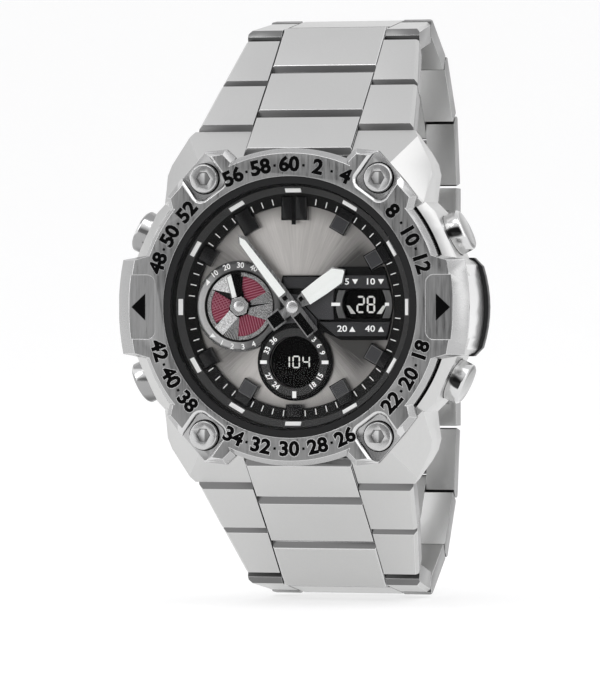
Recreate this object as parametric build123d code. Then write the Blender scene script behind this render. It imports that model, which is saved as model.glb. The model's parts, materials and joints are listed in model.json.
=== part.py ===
from build123d import *
from math import cos, radians, sin, tan
import os

# Wristwatch with hands and two digital windows, on a steel link bracelet.
# The watch stands upright: +X is towards 3 o'clock, +Z towards 12 o'clock, and the dial faces -Y.
# The origin is the middle of the wrist opening. Lengths are in millimetres, angles in degrees.
# Depth is measured back from the flat front of the bezel.

# Where the wrist lies behind the bezel's front.
wrist_depth = 33.5

# Bezel.
bezel_bore_radius = 18.2
bezel_edge_radius = 21.4
bezel_slope_width = 0.7
bezel_slope_depth = 1.0
bezel_thickness = 2.3
side_plate_half_height = 7.5
side_plate_taper = 1.0
side_plate_bow = 0.65
side_plate_slope = 2.2
side_plate_slope_depth = 1.9
side_plate_end_slope = 0.1
arrow_panel_inner = 19.4
arrow_panel_half_height = 4.5
arrow_panel_corner = 1.2
arrow_panel_sink = 0.22
tab_reach = 22.8
pocket_width = 5.0
pocket_length = 5.6
pocket_corner = 1.1
pocket_rim = 0.4
pocket_depth = 1.3
pocket_angle = 54
tab_top_shares = (
    (0.735, 0.6), (0.75, 0.665), (0.69, 0.73), (0.53, 0.915), (0.42, 0.93), (0.37, 0.88), (0.52, 0.57),
)
tab_foot_shares = (
    (0.765, 0.59), (0.785, 0.67), (0.715, 0.76), (0.545, 0.95), (0.41, 0.965), (0.35, 0.91), (0.5, 0.55),
)

# Bezel screws.
screw_across = 12.5
screw_up = 17.9
screw_head_radius = 2.05
screw_head_height = 0.95
screw_head_edge = 0.2
screw_socket_radius = 0.95
screw_socket_depth = 0.7
screw_shank_radius = 0.8
screw_hole_gap = 0.06
screw_length = 4.2

# Steel shell of the case and its shoulders.
shell_back_depth = 11.5
shell_bore_radius = 20.6
shell_front_bore_radius = 19.2
shell_front_wall = 1.2
shell_ring_radius = 21.7
shell_half_width = 25.2
shell_side_half_height = 6.4
shell_side_bow = 0.9
shoulder_half_width = 19.1
shoulder_height = 27.0
shoulder_slot_gap = 0.08
shoulder_face_drop = 0.35
corner_face_angle = 46
corner_face_start = 22.9
corner_face_depth = 2.0
shell_seam = 0.5
flank_slope_radius = bezel_edge_radius + bezel_slope_width + 0.35
flank_slope_angle = 40
flank_slope_from = 10
flank_slope_to = 38
shoulder_shares = ((0.975, 0.765), (0.985, 0.86), (1.0, 0.965), (0.98, 1.045), (0.86, 1.26), (0.79, 1.35))

# Black resin inner case.
inner_case_radius = 20.5
inner_case_bore_radius = 17.5
inner_case_back_depth = 13.0
guard_half_width = shell_half_width + 0.6
guard_half_height = 6.9
guard_bow = 0.9
guard_corner = 1.2
guard_front_depth = 11.6

# Crystal and its black seal.
crystal_radius = 17.2
crystal_front_depth = -0.1
crystal_thickness = 1.4
crystal_edge = 0.15
seal_lip_depth = 0.15

# Dial ring, dial plate and what stands on it.
dial_ring_top_depth = 1.45
dial_ring_mid_radius = 15.9
dial_ring_mid_depth = 2.75
dial_ring_inner_radius = 14.2
dial_ring_inner_depth = 3.15
dial_ring_outer_radius = 17.45
dial_front_depth = 3.9
dial_thickness = 0.4
dial_radius = 17.3
centre_hole_radius = 0.9
marker_front_depth = 2.6
marker_outer_radius = 15.5
marker_inner_radius = 12.1
marker_width = 2.4
marker_twelve_width = 3.7
marker_twelve_slot = 0.5
marker_edge = 0.2
marker_six_inner_radius = 13.6
marker_side_inner_radius = 13.3

# Small dial at the left.
small_dial_across = -8.0
small_dial_up = 0.1
small_dial_radius = 6.4
small_dial_bowl_radius = 4.95
small_dial_edge = 0.5
small_dial_front_depth = 3.0
small_dial_floor_depth = 3.75

# Digital windows and their frame.
low_window_up = -7.7
low_window_ring_radius = 5.4
low_window_radius = 3.65
low_window_edge = 0.3
right_window_across = 10.0
right_window_up = 0.4
right_window_width = 6.3
right_window_height = 4.1
right_window_corner = 1.2
bridge_front_depth = 3.0
bridge_left = -1.7
bridge_neck_across = 4.1
bridge_neck_up = -3.4
bridge_foot_across = 3.6
bridge_step = 5.2
bridge_step_rise = 1.2
bridge_top = 5.6
bridge_bottom = -4.6
bridge_corner = 6.7
bridge_outer_radius = 13.9
bridge_sink = 0.35
panel_margin = 0.5
panel_thickness = 0.8

# Hands.
hand_thickness = 0.2
hour_hand_depth = 2.45
minute_hand_depth = 1.95
hour_hand_length = 9.1
hour_hand_width = 2.8
hour_hand_tail = 3.1
hour_tail_square = 2.3
hour_hand_turn = -55.0
minute_hand_length = 12.8
minute_hand_width = 1.7
minute_hand_tail = 4.7
minute_tail_width = 1.9
minute_hand_turn = 38.0
hub_radius = 1.0
hub_height = 0.3
post_radius = 0.35
post_gap = 0.03
small_hand_depth = 3.3
small_hand_length = 4.4
small_hand_width = 1.7
small_hand_turn = 15.0
small_hub_radius = 1.4
small_hub_height = 0.25
small_post_radius = 0.25

# Works inside the case.
works_front_depth = 5.15
works_back_depth = 10.4
works_radius = 17.3
board_thickness = 0.6
board_radius = 16.0
battery_radius = 6.2
battery_thickness = 1.6
battery_across = -5.0
inner_gap = 0.05

# Case back.
back_radius = 18.6
back_front_depth = 13.05
back_thickness = 1.2
back_edge = 0.4
back_spigot_radius = 17.4
back_spigot_height = 0.7
back_ring_radius = 14.5
back_ring_width = 0.6
back_ring_depth = 0.25
back_key_count = 6
back_key_width = 2.2
back_key_length = 1.2
back_key_depth = 0.5
back_seal_height = 0.4

# Push buttons at 2, 4, 8 and 10 o'clock.
pusher_angle = 25.5
pusher_across = shell_half_width - 3.6
pusher_up = 9.95
pusher_depth = 7.8
pusher_cap_radius = 3.0
pusher_cap_height = 2.5
pusher_cap_gap = 0.08
pusher_recess_depth = 1.2
pusher_cap_edge = 0.35
pusher_travel = 0.8
pusher_rest_gap = 0.95
pusher_stem_radius = 0.9
pusher_stem_length = 6.2
pusher_bore_gap = 0.06
pusher_well_radius = 1.9
pusher_well_depth = 2.6
pusher_spring_gap = 0.12
pusher_spring_wire = 0.35
pusher_seat_low = 3.6
pusher_seat_high = 3.6

# Bracelet links.
link_pitch = 10.5
link_thickness = 3.0
link_first_depth = 11.05
link_first_height = shell_ring_radius + 3.35
link_angles = (39, 41, 9, -29, -54, -80)
centre_half_width = 7.65
side_gap = 0.05
link_wide_half_width = 15.6
link_narrow_half_width = 12.0
link_taper_shares = (1.0, 0.64, 0.2, 0.0, 0.0, 0.0, 0.0)
ear_reach = 1.6
ear_edge = 0.85
tongue_reach = 1.3
tongue_edge = 0.45
centre_front_edge = 0.8
swing_gap = 0.13
side_edge = 0.45
centre_side_edge = 0.18
link_pin_radius = 0.6
link_pin_gap = 0.04
link_pin_bite = 2.6
cross_pin_share = 0.5

# Solid end links in the shoulders.
end_link_length = 7.0
lug_bar_share = 0.52
lug_bar_radius = 0.75
lug_bar_bite = 2.4

# Folding clasp.
cover_roof = 0.9
cover_depth = 3.6
cover_wall = 1.0
cover_edge = 0.4
blade_thickness = 0.9
blade_gap = 0.15
outer_blade_half_width = 9.4
outer_blade_notch_half_width = 5.4
inner_blade_half_width = 4.9
inner_blade_drop = 2.8
fold_pivot_height = 12.0
fold_pivot_drop = 2.35
fold_knuckle_radius = 1.05
fold_knuckle_half_width = 2.4
cover_pivot_height = -12.6
cover_pivot_drop = 1.85
cover_knuckle_radius = 0.9
clasp_pin_radius = 0.5
clasp_pin_gap = 0.04
hook_radius = 1.15
hook_half_width = 4.0
hook_side_gap = 0.1
hook_shoulder = 2.6
button_height = 4.5
button_length = 6.5
button_width = 1.7
button_drop = 1.9
button_proud = 0.5
button_reach = 1.2
button_gap = 0.06
button_travel = 0.4

overrun = 1.0
through = 60.0


def front(depth):
    """Plane across the dial at a depth, its normal towards the viewer."""
    return Plane(origin=(0, depth - wrist_depth, 0), x_dir=(1, 0, 0), z_dir=(0, -1, 0))


def slab(sketch, near, far):
    """Solid between two depths with the sketch as its front view."""
    return extrude(front(far) * sketch, far - near)


def outline(points):
    return make_face(Polyline(*points, close=True))


def bowed(outer, height, bow):
    """Points of an edge at 3 o'clock, bulging outwards by the bow, from its top to its middle."""
    return [(outer - bow * share * share, height * share) for share in (1, 0.75, 0.5, 0.25)]


def turned(points, across=0, up=0):
    """Solid turned about an axis through the dial, from radius and depth pairs."""
    section = make_face(Polyline(*[(radius, depth - wrist_depth) for radius, depth in points], close=True))
    return Pos(across, 0, up) * revolve(section, Axis.Y)


def spun(sketch, angle):
    return Rot(0, 0, angle) * sketch


def both_sides(shape):
    return [shape, mirror(shape, Plane.YZ)]


def four_corners(shape):
    pair = both_sides(shape)
    return pair + [mirror(one, Plane.XY) for one in pair]


def save(name, *solids):
    """Write the separate solids of one sub-part."""
    flat = [solid for shape in solids for solid in shape.solids()]
    shape = flat[0] if len(flat) == 1 else Compound(children=flat)
    export_step(shape, "parts/" + name + ".step")


def one_solid(shape):
    return shape.solids()[0]


# Bezel: a ring, a plate at each side and a screw tab at each corner.
def bezel_ring():
    """Ring with its bore left narrow, to be bored out once the plates and tabs are on."""
    inner = bezel_bore_radius - overrun
    edge = bezel_edge_radius
    foot = edge + bezel_slope_width
    return turned([
        (inner, 0), (edge, 0), (foot, bezel_slope_depth), (foot, bezel_thickness), (inner, bezel_thickness),
    ])


def sloped_block(top, foot, slope_depth):
    """Block with a flat front, slopes down to a wider foot and straight walls below."""
    upper = loft([front(slope_depth) * outline(foot), front(0) * outline(top)], ruled=True)
    lower = slab(outline(foot), slope_depth, bezel_thickness)
    return upper + lower


def side_plate():
    """Plate at 3 o'clock, lower towards its outer end, with its outer edge over the shell's side."""
    outer = shell_half_width
    width = outer - side_plate_slope
    height = side_plate_half_height
    end = height - side_plate_taper
    inner = bezel_bore_radius + bezel_slope_width
    top = bowed(width, end, side_plate_bow)
    foot = bowed(outer, end + side_plate_end_slope, side_plate_bow)
    whole_top = mirrored_up(top, inner, height)
    whole_foot = mirrored_up(foot, inner, height + side_plate_end_slope)
    return sloped_block(whole_top, whole_foot, side_plate_slope_depth)


def arrow_panel():
    """Shallow recess that carries the arrow, open at the plate's outer edge."""
    panel_width = shell_half_width - arrow_panel_inner
    panel = RectangleRounded(2 * panel_width, 2 * arrow_panel_half_height, arrow_panel_corner)
    return slab(Pos(arrow_panel_inner + panel_width, 0) * panel, -overrun, arrow_panel_sink)


def mirrored_up(points, inner, height):
    """Close a half outline given above the middle line, with its inner side straight."""
    upper = [(inner, height)] + points
    return upper + [(across, -up) for across, up in reversed(upper)]


def screw_tab():
    top = [(across * tab_reach, up * tab_reach) for across, up in tab_top_shares]
    foot = [(across * tab_reach, up * tab_reach) for across, up in tab_foot_shares]
    return sloped_block(top, foot, bezel_slope_depth)


def pocket_sketch(margin):
    length = pocket_length + 2 * margin
    width = pocket_width + 2 * margin
    shape = RectangleRounded(length, width, pocket_corner + margin)
    reach = (pocket_length - pocket_width) / 2
    return Pos(screw_across, screw_up) * spun(Pos(reach, 0) * shape, pocket_angle)


def pocket():
    """Recess for a screw's head, with a sloped rim."""
    mouth = loft([
        front(pocket_rim) * pocket_sketch(0), front(-overrun) * pocket_sketch(pocket_rim + overrun),
    ], ruled=True)
    return slab(pocket_sketch(0), 0, pocket_depth) + mouth


def screw_hole(radius, near, far):
    return slab(Pos(screw_across, screw_up) * Circle(radius), near, far)


def build_bezel():
    body = bezel_ring()
    for plate in both_sides(side_plate()):
        body += plate
    hole = screw_hole(screw_shank_radius + screw_hole_gap, -overrun, bezel_thickness + overrun)
    for tab in four_corners(screw_tab()):
        body += tab
    for recess in four_corners(pocket()):
        body -= recess
    for hole_copy in four_corners(hole):
        body -= hole_copy
    for panel in both_sides(arrow_panel()):
        body -= panel
    bore = slab(Circle(bezel_bore_radius), -overrun, bezel_thickness + overrun)
    return one_solid(body - bore)


def build_bezel_screw():
    head_back = pocket_depth
    head_front = pocket_depth - screw_head_height
    head = screw_hole(screw_head_radius, head_front, head_back)
    rim = head.edges().filter_by(GeomType.CIRCLE).sort_by(Axis.Y)[0]
    head = chamfer(rim, screw_head_edge)
    socket = Pos(screw_across, screw_up) * RegularPolygon(screw_socket_radius, 6)
    head -= slab(socket, head_front - overrun, head_front + screw_socket_depth)
    shank = screw_hole(screw_shank_radius, head_back, head_back + screw_length)
    return one_solid(head + shank)


# Steel shell.
def bracelet_path():
    """Hinge places down the upper side of the bracelet, as depth and height pairs."""
    places = [(link_first_depth, link_first_height)]
    for angle in link_angles:
        depth, height = places[-1]
        turn = radians(angle)
        places.append((depth + link_pitch * cos(turn), height + link_pitch * sin(turn)))
    return places


def link_plane(place, angle, across=0):
    """Plane seen from the side: local x runs along the link, local y outwards, normal +X."""
    depth, height = place
    turn = radians(angle)
    origin = (across, depth - wrist_depth, height)
    return Plane(origin=origin, x_dir=(0, cos(turn), sin(turn)), z_dir=(1, 0, 0))


def bar_across(plane, points, low, high):
    """Side view outline carried across the watch from one X to another."""
    return extrude(plane.offset(low) * outline(points), high - low)


def shell_outline():
    """Front view of one quarter of the shell, from 3 o'clock round to the shoulder."""
    turn = radians(pusher_angle)
    seat_low = (pusher_across + pusher_seat_low * sin(turn), pusher_up - pusher_seat_low * cos(turn))
    seat_high = (pusher_across - pusher_seat_high * sin(turn), pusher_up + pusher_seat_high * cos(turn))
    side = shell_half_width
    half_height = shell_side_half_height
    shoulder = [(across * shoulder_half_width, up * shoulder_half_width) for across, up in shoulder_shares]
    side_end = (side - shell_side_bow - shell_seam, half_height)
    top_corner = (shoulder[-1][0], shoulder_height)
    return [
        (0, 0), (side, 0), *reversed(bowed(side, half_height - shell_seam, shell_side_bow)), side_end,
        seat_low, seat_high, *shoulder, top_corner, (0, shoulder_height),
    ]


def corner_cut():
    """Wedge above the bright slanted face at the corner of a shoulder."""
    size = shoulder_height
    lie = radians(corner_face_angle)
    start = corner_face_start
    plane = Plane(
        origin=(start * cos(lie), corner_face_depth - wrist_depth, start * sin(lie)),
        x_dir=(-sin(lie), 0, cos(lie)),
        z_dir=(cos(lie), -1, sin(lie)),
    )
    return extrude(plane * Rectangle(2 * size, 2 * size), size)


def flank_cut():
    """Space above the sloped face of the shell beside the bezel."""
    near = flank_slope_radius
    reach = shell_half_width
    drop = (reach - near) * tan(radians(flank_slope_angle))
    ring = turned([
        (near, bezel_thickness), (near, bezel_thickness - overrun), (reach, bezel_thickness - overrun),
        (reach, bezel_thickness + drop),
    ])
    ends = [radians(flank_slope_from), radians(flank_slope_to)]
    wedge = [(0, 0)] + [(2 * reach * cos(turn), 2 * reach * sin(turn)) for turn in ends]
    return ring & slab(outline(wedge), -overrun, bezel_thickness + 2 * drop)


def build_shell():
    quarter = slab(outline(shell_outline()), bezel_thickness, shell_back_depth)
    quarter -= flank_cut()
    first = link_plane((link_first_depth, link_first_height), link_angles[0])
    half = link_thickness / 2
    size = shoulder_height
    face_top = half - shoulder_face_drop
    above = extrude(Plane(
        origin=first.from_local_coords((0, face_top, 0)), x_dir=(1, 0, 0), z_dir=first.y_dir,
    ) * Rectangle(4 * size, 2 * size), size)
    swing_reach = ear_reach + ear_edge / 4 + swing_gap
    beyond = extrude(Plane(
        origin=first.from_local_coords((-swing_reach, 0, 0)), x_dir=(1, 0, 0), z_dir=first.x_dir,
    ) * Rectangle(4 * size, 2 * size), size)
    quarter = quarter - above - beyond - corner_cut()
    slot_half = centre_half_width + shoulder_slot_gap
    slot = slab(Pos(0, size) * Rectangle(2 * slot_half, 2 * size), bezel_thickness - overrun,
                shell_back_depth + overrun)
    quarter -= slot - slab(Circle(shell_ring_radius), 0, shell_back_depth + 2 * overrun)
    for part in (pusher_bore(pusher_stem_radius + pusher_bore_gap, -size, size), pusher_well()):
        quarter -= part
    quarter -= lug_bar(0)
    quarter -= screw_hole(screw_shank_radius, 0, pocket_depth + screw_length + inner_gap)
    body = None
    for corner in four_corners(quarter):
        body = corner if body is None else body + corner
    bore = slab(Circle(shell_bore_radius), bezel_thickness + shell_front_wall, shell_back_depth + overrun)
    mouth = slab(Circle(shell_front_bore_radius), bezel_thickness - overrun, shell_back_depth)
    return one_solid(body - bore - mouth)


def lug_bar(shorter):
    """Spring bar that holds an end link between the shoulders."""
    first = link_plane((link_first_depth, link_first_height), link_angles[0])
    half = centre_half_width + lug_bar_bite - shorter
    round_end = Pos(-end_link_length * lug_bar_share, 0) * Circle(lug_bar_radius)
    return extrude(first.offset(-half) * round_end, 2 * half)


# Push buttons.
def pusher_plane(along):
    turn = radians(pusher_angle)
    outward = (cos(turn), 0, sin(turn))
    origin = (
        pusher_across + along * cos(turn),
        pusher_depth - wrist_depth,
        pusher_up + along * sin(turn),
    )
    return Plane(origin=origin, x_dir=(0, 1, 0), z_dir=outward)


def pusher_bore(radius, low, high):
    """Round bar on the button's axis, between two distances from its seat on the shell."""
    return extrude(pusher_plane(low) * Circle(radius), high - low)


def pusher_well():
    """Recess for the cap, with a narrower well for the spring at its bottom."""
    radius = pusher_cap_radius + pusher_cap_gap
    recess = pusher_bore(radius, -pusher_recess_depth, pusher_cap_height + overrun)
    return recess + pusher_bore(pusher_well_radius, -pusher_well_depth, 0)


def pusher_cap_base():
    return pusher_rest_gap - pusher_recess_depth


def build_pusher():
    base = pusher_cap_base()
    cap = pusher_bore(pusher_cap_radius, base, base + pusher_cap_height)
    turn = radians(pusher_angle)
    rim = cap.edges().sort_by(Axis((0, 0, 0), (cos(turn), 0, sin(turn))))[-1]
    cap = chamfer(rim, pusher_cap_edge)
    stem = pusher_bore(pusher_stem_radius, -pusher_stem_length + pusher_rest_gap, base)
    return one_solid(cap + stem)


def build_pusher_spring():
    outer = pusher_well_radius - pusher_spring_gap
    sleeve_top = pusher_cap_base() - pusher_travel - inner_gap
    sleeve = pusher_bore(outer, -pusher_well_depth, sleeve_top)
    return one_solid(sleeve - pusher_bore(outer - pusher_spring_wire, -pusher_well_depth, sleeve_top))


# Resin inner case with a guard at 3 and 9 o'clock.
def build_inner_case():
    front_depth = bezel_thickness + shell_front_wall
    body = slab(Circle(inner_case_radius), front_depth, inner_case_back_depth)
    edge = bowed(guard_half_width, guard_half_height - guard_corner, guard_bow)
    right = [(guard_half_width - guard_bow - guard_corner, guard_half_height), *edge, (guard_half_width, 0)]
    right += [(across, -up) for across, up in reversed(right[:-1])]
    guard = outline(right + [(-across, up) for across, up in reversed(right)])
    body += slab(guard, guard_front_depth, inner_case_back_depth)
    body -= slab(Circle(inner_case_bore_radius), front_depth - overrun, inner_case_back_depth + overrun)
    bore = pusher_bore(pusher_stem_radius + pusher_bore_gap, -pusher_stem_length - overrun, overrun)
    for corner in four_corners(bore):
        body -= corner
    clear = screw_hole(screw_shank_radius + screw_hole_gap, 0, pocket_depth + screw_length + inner_gap)
    for corner in four_corners(clear):
        body -= corner
    return one_solid(body)


# Crystal, seal and dial.
def build_crystal():
    back = crystal_front_depth + crystal_thickness
    return turned([
        (0, crystal_front_depth), (crystal_radius - crystal_edge, crystal_front_depth),
        (crystal_radius, crystal_front_depth + crystal_edge), (crystal_radius, back), (0, back),
    ])


def build_crystal_seal():
    back = crystal_front_depth + crystal_thickness
    outer = bezel_bore_radius
    inner = crystal_radius
    foot = bezel_thickness
    shelf = shell_front_bore_radius - inner_gap
    low = foot + blade_gap
    return turned([
        (inner, seal_lip_depth), (outer, seal_lip_depth), (outer, foot), (shelf, foot),
        (shelf, low), (dial_ring_outer_radius, low), (dial_ring_outer_radius, back), (inner, back),
    ])


def build_dial_ring():
    wall = dial_ring_outer_radius - inner_gap
    return turned([
        (crystal_radius, dial_ring_top_depth), (wall, dial_ring_top_depth), (wall, dial_front_depth),
        (dial_ring_inner_radius, dial_front_depth), (dial_ring_inner_radius, dial_ring_inner_depth),
        (dial_ring_mid_radius, dial_ring_mid_depth),
    ])


def low_window(radius, near, far):
    return slab(Pos(0, low_window_up) * Circle(radius), near, far)


def right_window(margin, near, far):
    width = right_window_width + 2 * margin
    height = right_window_height + 2 * margin
    shape = RectangleRounded(width, height, right_window_corner)
    return slab(Pos(right_window_across, right_window_up) * shape, near, far)


def build_dial_plate():
    back = dial_front_depth + dial_thickness
    plate = slab(Circle(dial_radius), dial_front_depth, back)
    plate -= slab(Circle(centre_hole_radius), dial_front_depth - overrun, back + overrun)
    plate -= low_window(low_window_radius, dial_front_depth - overrun, back + overrun)
    plate -= right_window(0, dial_front_depth - overrun, back + overrun)
    hole = Pos(small_dial_across, small_dial_up) * Circle(small_post_radius + post_gap)
    return one_solid(plate - slab(hole, dial_front_depth - overrun, back + overrun))


def marker(hour, width, inner):
    block = Rectangle(width, marker_outer_radius - inner)
    place = Pos(0, (marker_outer_radius + inner) / 2) * block
    solid = slab(spun(place, -30 * hour), marker_front_depth, dial_front_depth)
    front_edges = solid.edges().group_by(Axis.Y)[0]
    return chamfer(front_edges, marker_edge)


def build_markers():
    inner_radii = {hour: marker_inner_radius for hour in (1, 2, 4, 5, 7, 11)}
    inner_radii.update({8: marker_side_inner_radius, 10: marker_side_inner_radius})
    inner_radii[6] = marker_six_inner_radius
    blocks = [marker(hour, marker_width, inner) for hour, inner in inner_radii.items()]
    twelve = marker(0, marker_twelve_width, marker_inner_radius)
    height = marker_outer_radius - marker_inner_radius
    slot = Pos(0, marker_inner_radius + height / 2) * Rectangle(marker_twelve_slot, height + overrun)
    twelve -= slab(slot, marker_front_depth - overrun, dial_front_depth - marker_edge)
    blocks.append(twelve)
    ring = build_dial_ring()
    return [one_solid(block - ring) for block in blocks]


def turned_hole():
    """The room inside the dial ring, in which the hour blocks stand."""
    reach = dial_ring_inner_radius - inner_gap
    return slab(Circle(reach), 0, dial_front_depth)


def build_small_dial():
    front_depth = small_dial_front_depth
    outer = small_dial_radius
    bowl = small_dial_bowl_radius
    edge = small_dial_edge
    body = turned([
        (0, small_dial_floor_depth), (bowl, small_dial_floor_depth), (bowl, front_depth + edge / 2),
        (bowl + edge / 2, front_depth), (outer - edge, front_depth), (outer, front_depth + edge),
        (outer, dial_front_depth), (0, dial_front_depth),
    ], small_dial_across, small_dial_up)
    hole = Pos(small_dial_across, small_dial_up) * Circle(small_post_radius + post_gap)
    body -= slab(hole, front_depth, dial_front_depth + overrun)
    body &= turned_hole()
    body -= slab(Circle(hub_radius + post_gap), 0, dial_front_depth)
    return one_solid(body - low_window(low_window_ring_radius + inner_gap, 0, dial_front_depth))


def bridge_outline():
    """Plate from the low window past the middle to 3 o'clock, stepped up over the right window."""
    left = bridge_left
    right = bridge_outer_radius
    shoulder = bridge_top - bridge_step_rise
    return outline([
        (left, shoulder), (bridge_step, shoulder), (bridge_step + bridge_step_rise, bridge_top),
        (right, bridge_top), (right, bridge_bottom), (bridge_corner, bridge_bottom),
        (bridge_neck_across, bridge_neck_up), (bridge_foot_across, bridge_bottom),
        (-bridge_foot_across, bridge_bottom),
    ])


def build_window_frame():
    front_depth = bridge_front_depth
    edge = low_window_edge
    ring = turned([
        (low_window_radius, front_depth + 2 * edge), (low_window_radius + 2 * edge, front_depth),
        (low_window_ring_radius - edge, front_depth), (low_window_ring_radius, front_depth + edge),
        (low_window_ring_radius, dial_front_depth), (low_window_radius, dial_front_depth),
    ], 0, low_window_up)
    bridge = slab(bridge_outline(), front_depth, dial_front_depth)
    bridge &= slab(Circle(bridge_outer_radius), 0, dial_front_depth)
    strip = Pos(right_window_across, right_window_up) * Rectangle(
        2 * right_window_width, right_window_height + 2 * bridge_sink,
    )
    bridge -= slab(strip, front_depth - overrun, front_depth + bridge_sink)
    bridge -= low_window(low_window_radius, 0, dial_front_depth)
    bridge -= right_window(0, 0, dial_front_depth)
    bridge -= low_window(low_window_ring_radius - edge, 0, dial_front_depth)
    for hour in (2, 4):
        bridge -= marker_room(hour)
    bridge -= slab(Circle(hub_radius + post_gap), 0, dial_front_depth)
    small_dial = Pos(small_dial_across, small_dial_up) * Circle(small_dial_radius + side_gap)
    bridge -= slab(small_dial, 0, dial_front_depth)
    return one_solid(bridge + ring)


def marker_room(hour):
    """Room left in the window frame round an hour block."""
    room = 4 * side_gap
    height = marker_outer_radius - marker_inner_radius + room
    block = Pos(0, (marker_outer_radius + marker_inner_radius) / 2) * Rectangle(marker_width + room, height)
    return slab(spun(block, -30 * hour), 0, dial_front_depth + overrun)


def build_window_panels():
    near = dial_front_depth + dial_thickness
    far = near + panel_thickness
    low = low_window(low_window_radius + panel_margin, near, far)
    return [low, right_window(panel_margin, near, far)]


# Hands.
def hand_slab(points, depth, turn):
    return slab(spun(outline(points), turn), depth, depth + hand_thickness)


def build_hour_hand():
    half = hour_hand_width / 2
    reach = hour_hand_length
    tail = hour_hand_tail
    square = hour_tail_square
    blade = [
        (half * 0.3, 0), (half * 0.75, reach * 0.25), (half, reach * 0.85), (0, reach),
        (-half, reach * 0.85), (-half * 0.75, reach * 0.25), (-half * 0.3, 0),
    ]
    neck = Pos(0, -tail / 2) * Rectangle(half, tail)
    weight = Pos(0, -tail) * Rectangle(square, square)
    shape = outline(blade) + Circle(hub_radius) + neck + weight
    body = slab(spun(shape, hour_hand_turn), hour_hand_depth, hour_hand_depth + hand_thickness)
    return one_solid(body - slab(Circle(post_radius + post_gap), 0, dial_front_depth))


def build_minute_hand():
    half = minute_hand_width / 2
    reach = minute_hand_length
    blade = [
        (half, 0), (half, reach * 0.3), (half * 0.8, reach * 0.93), (0, reach),
        (-half * 0.8, reach * 0.93), (-half, reach * 0.3), (-half, 0),
    ]
    tail = Pos(0, -minute_hand_tail / 2) * Rectangle(minute_tail_width, minute_hand_tail)
    shape = outline(blade) + Circle(hub_radius) + tail
    body = slab(spun(shape, minute_hand_turn), minute_hand_depth, minute_hand_depth + hand_thickness)
    body += slab(Circle(hub_radius), minute_hand_depth - hub_height, minute_hand_depth)
    hole = slab(Circle(post_radius + post_gap), minute_hand_depth - post_gap, dial_front_depth)
    return one_solid(body - hole)


def build_small_hand():
    half = small_hand_width / 2
    reach = small_hand_length
    blade = Pos(0, reach / 2) * Rectangle(2 * half, reach)
    shape = blade + Circle(small_hub_radius)
    place = Pos(small_dial_across, small_dial_up) * spun(shape, small_hand_turn)
    body = slab(place, small_hand_depth, small_hand_depth + hand_thickness)
    cap = Pos(small_dial_across, small_dial_up) * RegularPolygon(small_hub_radius, 6)
    body += slab(cap, small_hand_depth - small_hub_height, small_hand_depth)
    hole = Pos(small_dial_across, small_dial_up) * Circle(small_post_radius + post_gap)
    return one_solid(body - slab(hole, small_hand_depth, dial_front_depth))


# Works.
def build_works():
    body = slab(Circle(works_radius), works_front_depth, works_back_depth)
    body += slab(Circle(post_radius), minute_hand_depth, works_front_depth)
    small_post = Pos(small_dial_across, small_dial_up) * Circle(small_post_radius)
    body += slab(small_post, small_hand_depth + post_gap, works_front_depth)
    rest = slab(Circle(works_radius), dial_front_depth + dial_thickness, works_front_depth)
    rest -= low_window(low_window_radius + 2 * panel_margin, 0, works_front_depth)
    rest -= right_window(2 * panel_margin, 0, works_front_depth)
    body += rest
    clear = pusher_bore(pusher_stem_radius + 2 * pusher_bore_gap, -pusher_stem_length, overrun)
    for corner in four_corners(clear):
        body -= corner
    return one_solid(body)


def battery_sketch(margin):
    return Pos(battery_across, 0) * Circle(battery_radius + margin)


def build_board():
    near = works_back_depth
    board = slab(Circle(board_radius), near, near + board_thickness)
    return one_solid(board)


def build_battery():
    near = works_back_depth + board_thickness
    return slab(battery_sketch(0), near, near + battery_thickness)


# Case back with a turned ring and key slots.
def build_back():
    near = back_front_depth
    far = near + back_thickness
    spigot_near = near - back_spigot_height
    groove = back_ring_radius
    width = back_ring_width
    step = back_spigot_radius - back_spigot_height
    body = turned([
        (0, near), (step, near), (step, spigot_near),
        (back_spigot_radius, spigot_near), (back_spigot_radius, near), (back_radius, near),
        (back_radius, far - back_edge), (back_radius - back_edge, far), (groove + width, far),
        (groove + width, far - back_ring_depth), (groove, far - back_ring_depth), (groove, far), (0, far),
    ])
    key = Pos(back_radius, 0) * Rectangle(2 * back_key_length, back_key_width)
    for index in range(back_key_count):
        slot = spun(key, 360 * index / back_key_count)
        body -= slab(slot, far - back_key_depth, far + overrun)
    return one_solid(body)


def build_back_seal():
    inner = back_spigot_radius
    near = back_front_depth - back_spigot_height
    outer = inner_case_bore_radius - inner_gap / 2
    far = near + back_seal_height
    return turned([(inner, near), (outer, near), (outer, far), (inner, far)])


# Bracelet.
def ear_points(length):
    """Side view of a side link: chamfered ear at its hinge end and a flat far end."""
    half = link_thickness / 2
    reach = ear_reach
    edge = ear_edge
    return [
        (-reach, -half + edge), (-reach + edge, -half),
        (length - edge / 4, -half), (length, -half + edge / 4),
        (length, half - edge / 4), (length - edge / 4, half), (-reach + edge, half), (-reach, half - edge),
    ]


def ear_far_end():
    """How far a side link reaches past its hinge before the next one's ear begins."""
    return link_pitch - ear_reach - ear_edge / 4 - swing_gap


def centre_near_end():
    return tongue_reach + tongue_edge + swing_gap


def centre_points(near, far):
    half = link_thickness / 2
    front_edge = centre_front_edge
    edge = tongue_edge
    return [
        (near, -half + edge), (near + edge, -half), (far - edge, -half), (far, -half + edge),
        (far, half - edge), (far - edge, half), (near + front_edge, half), (near, half - front_edge),
    ]


def width_at(index):
    share = link_taper_shares[index]
    return link_narrow_half_width + share * (link_wide_half_width - link_narrow_half_width)


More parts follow.
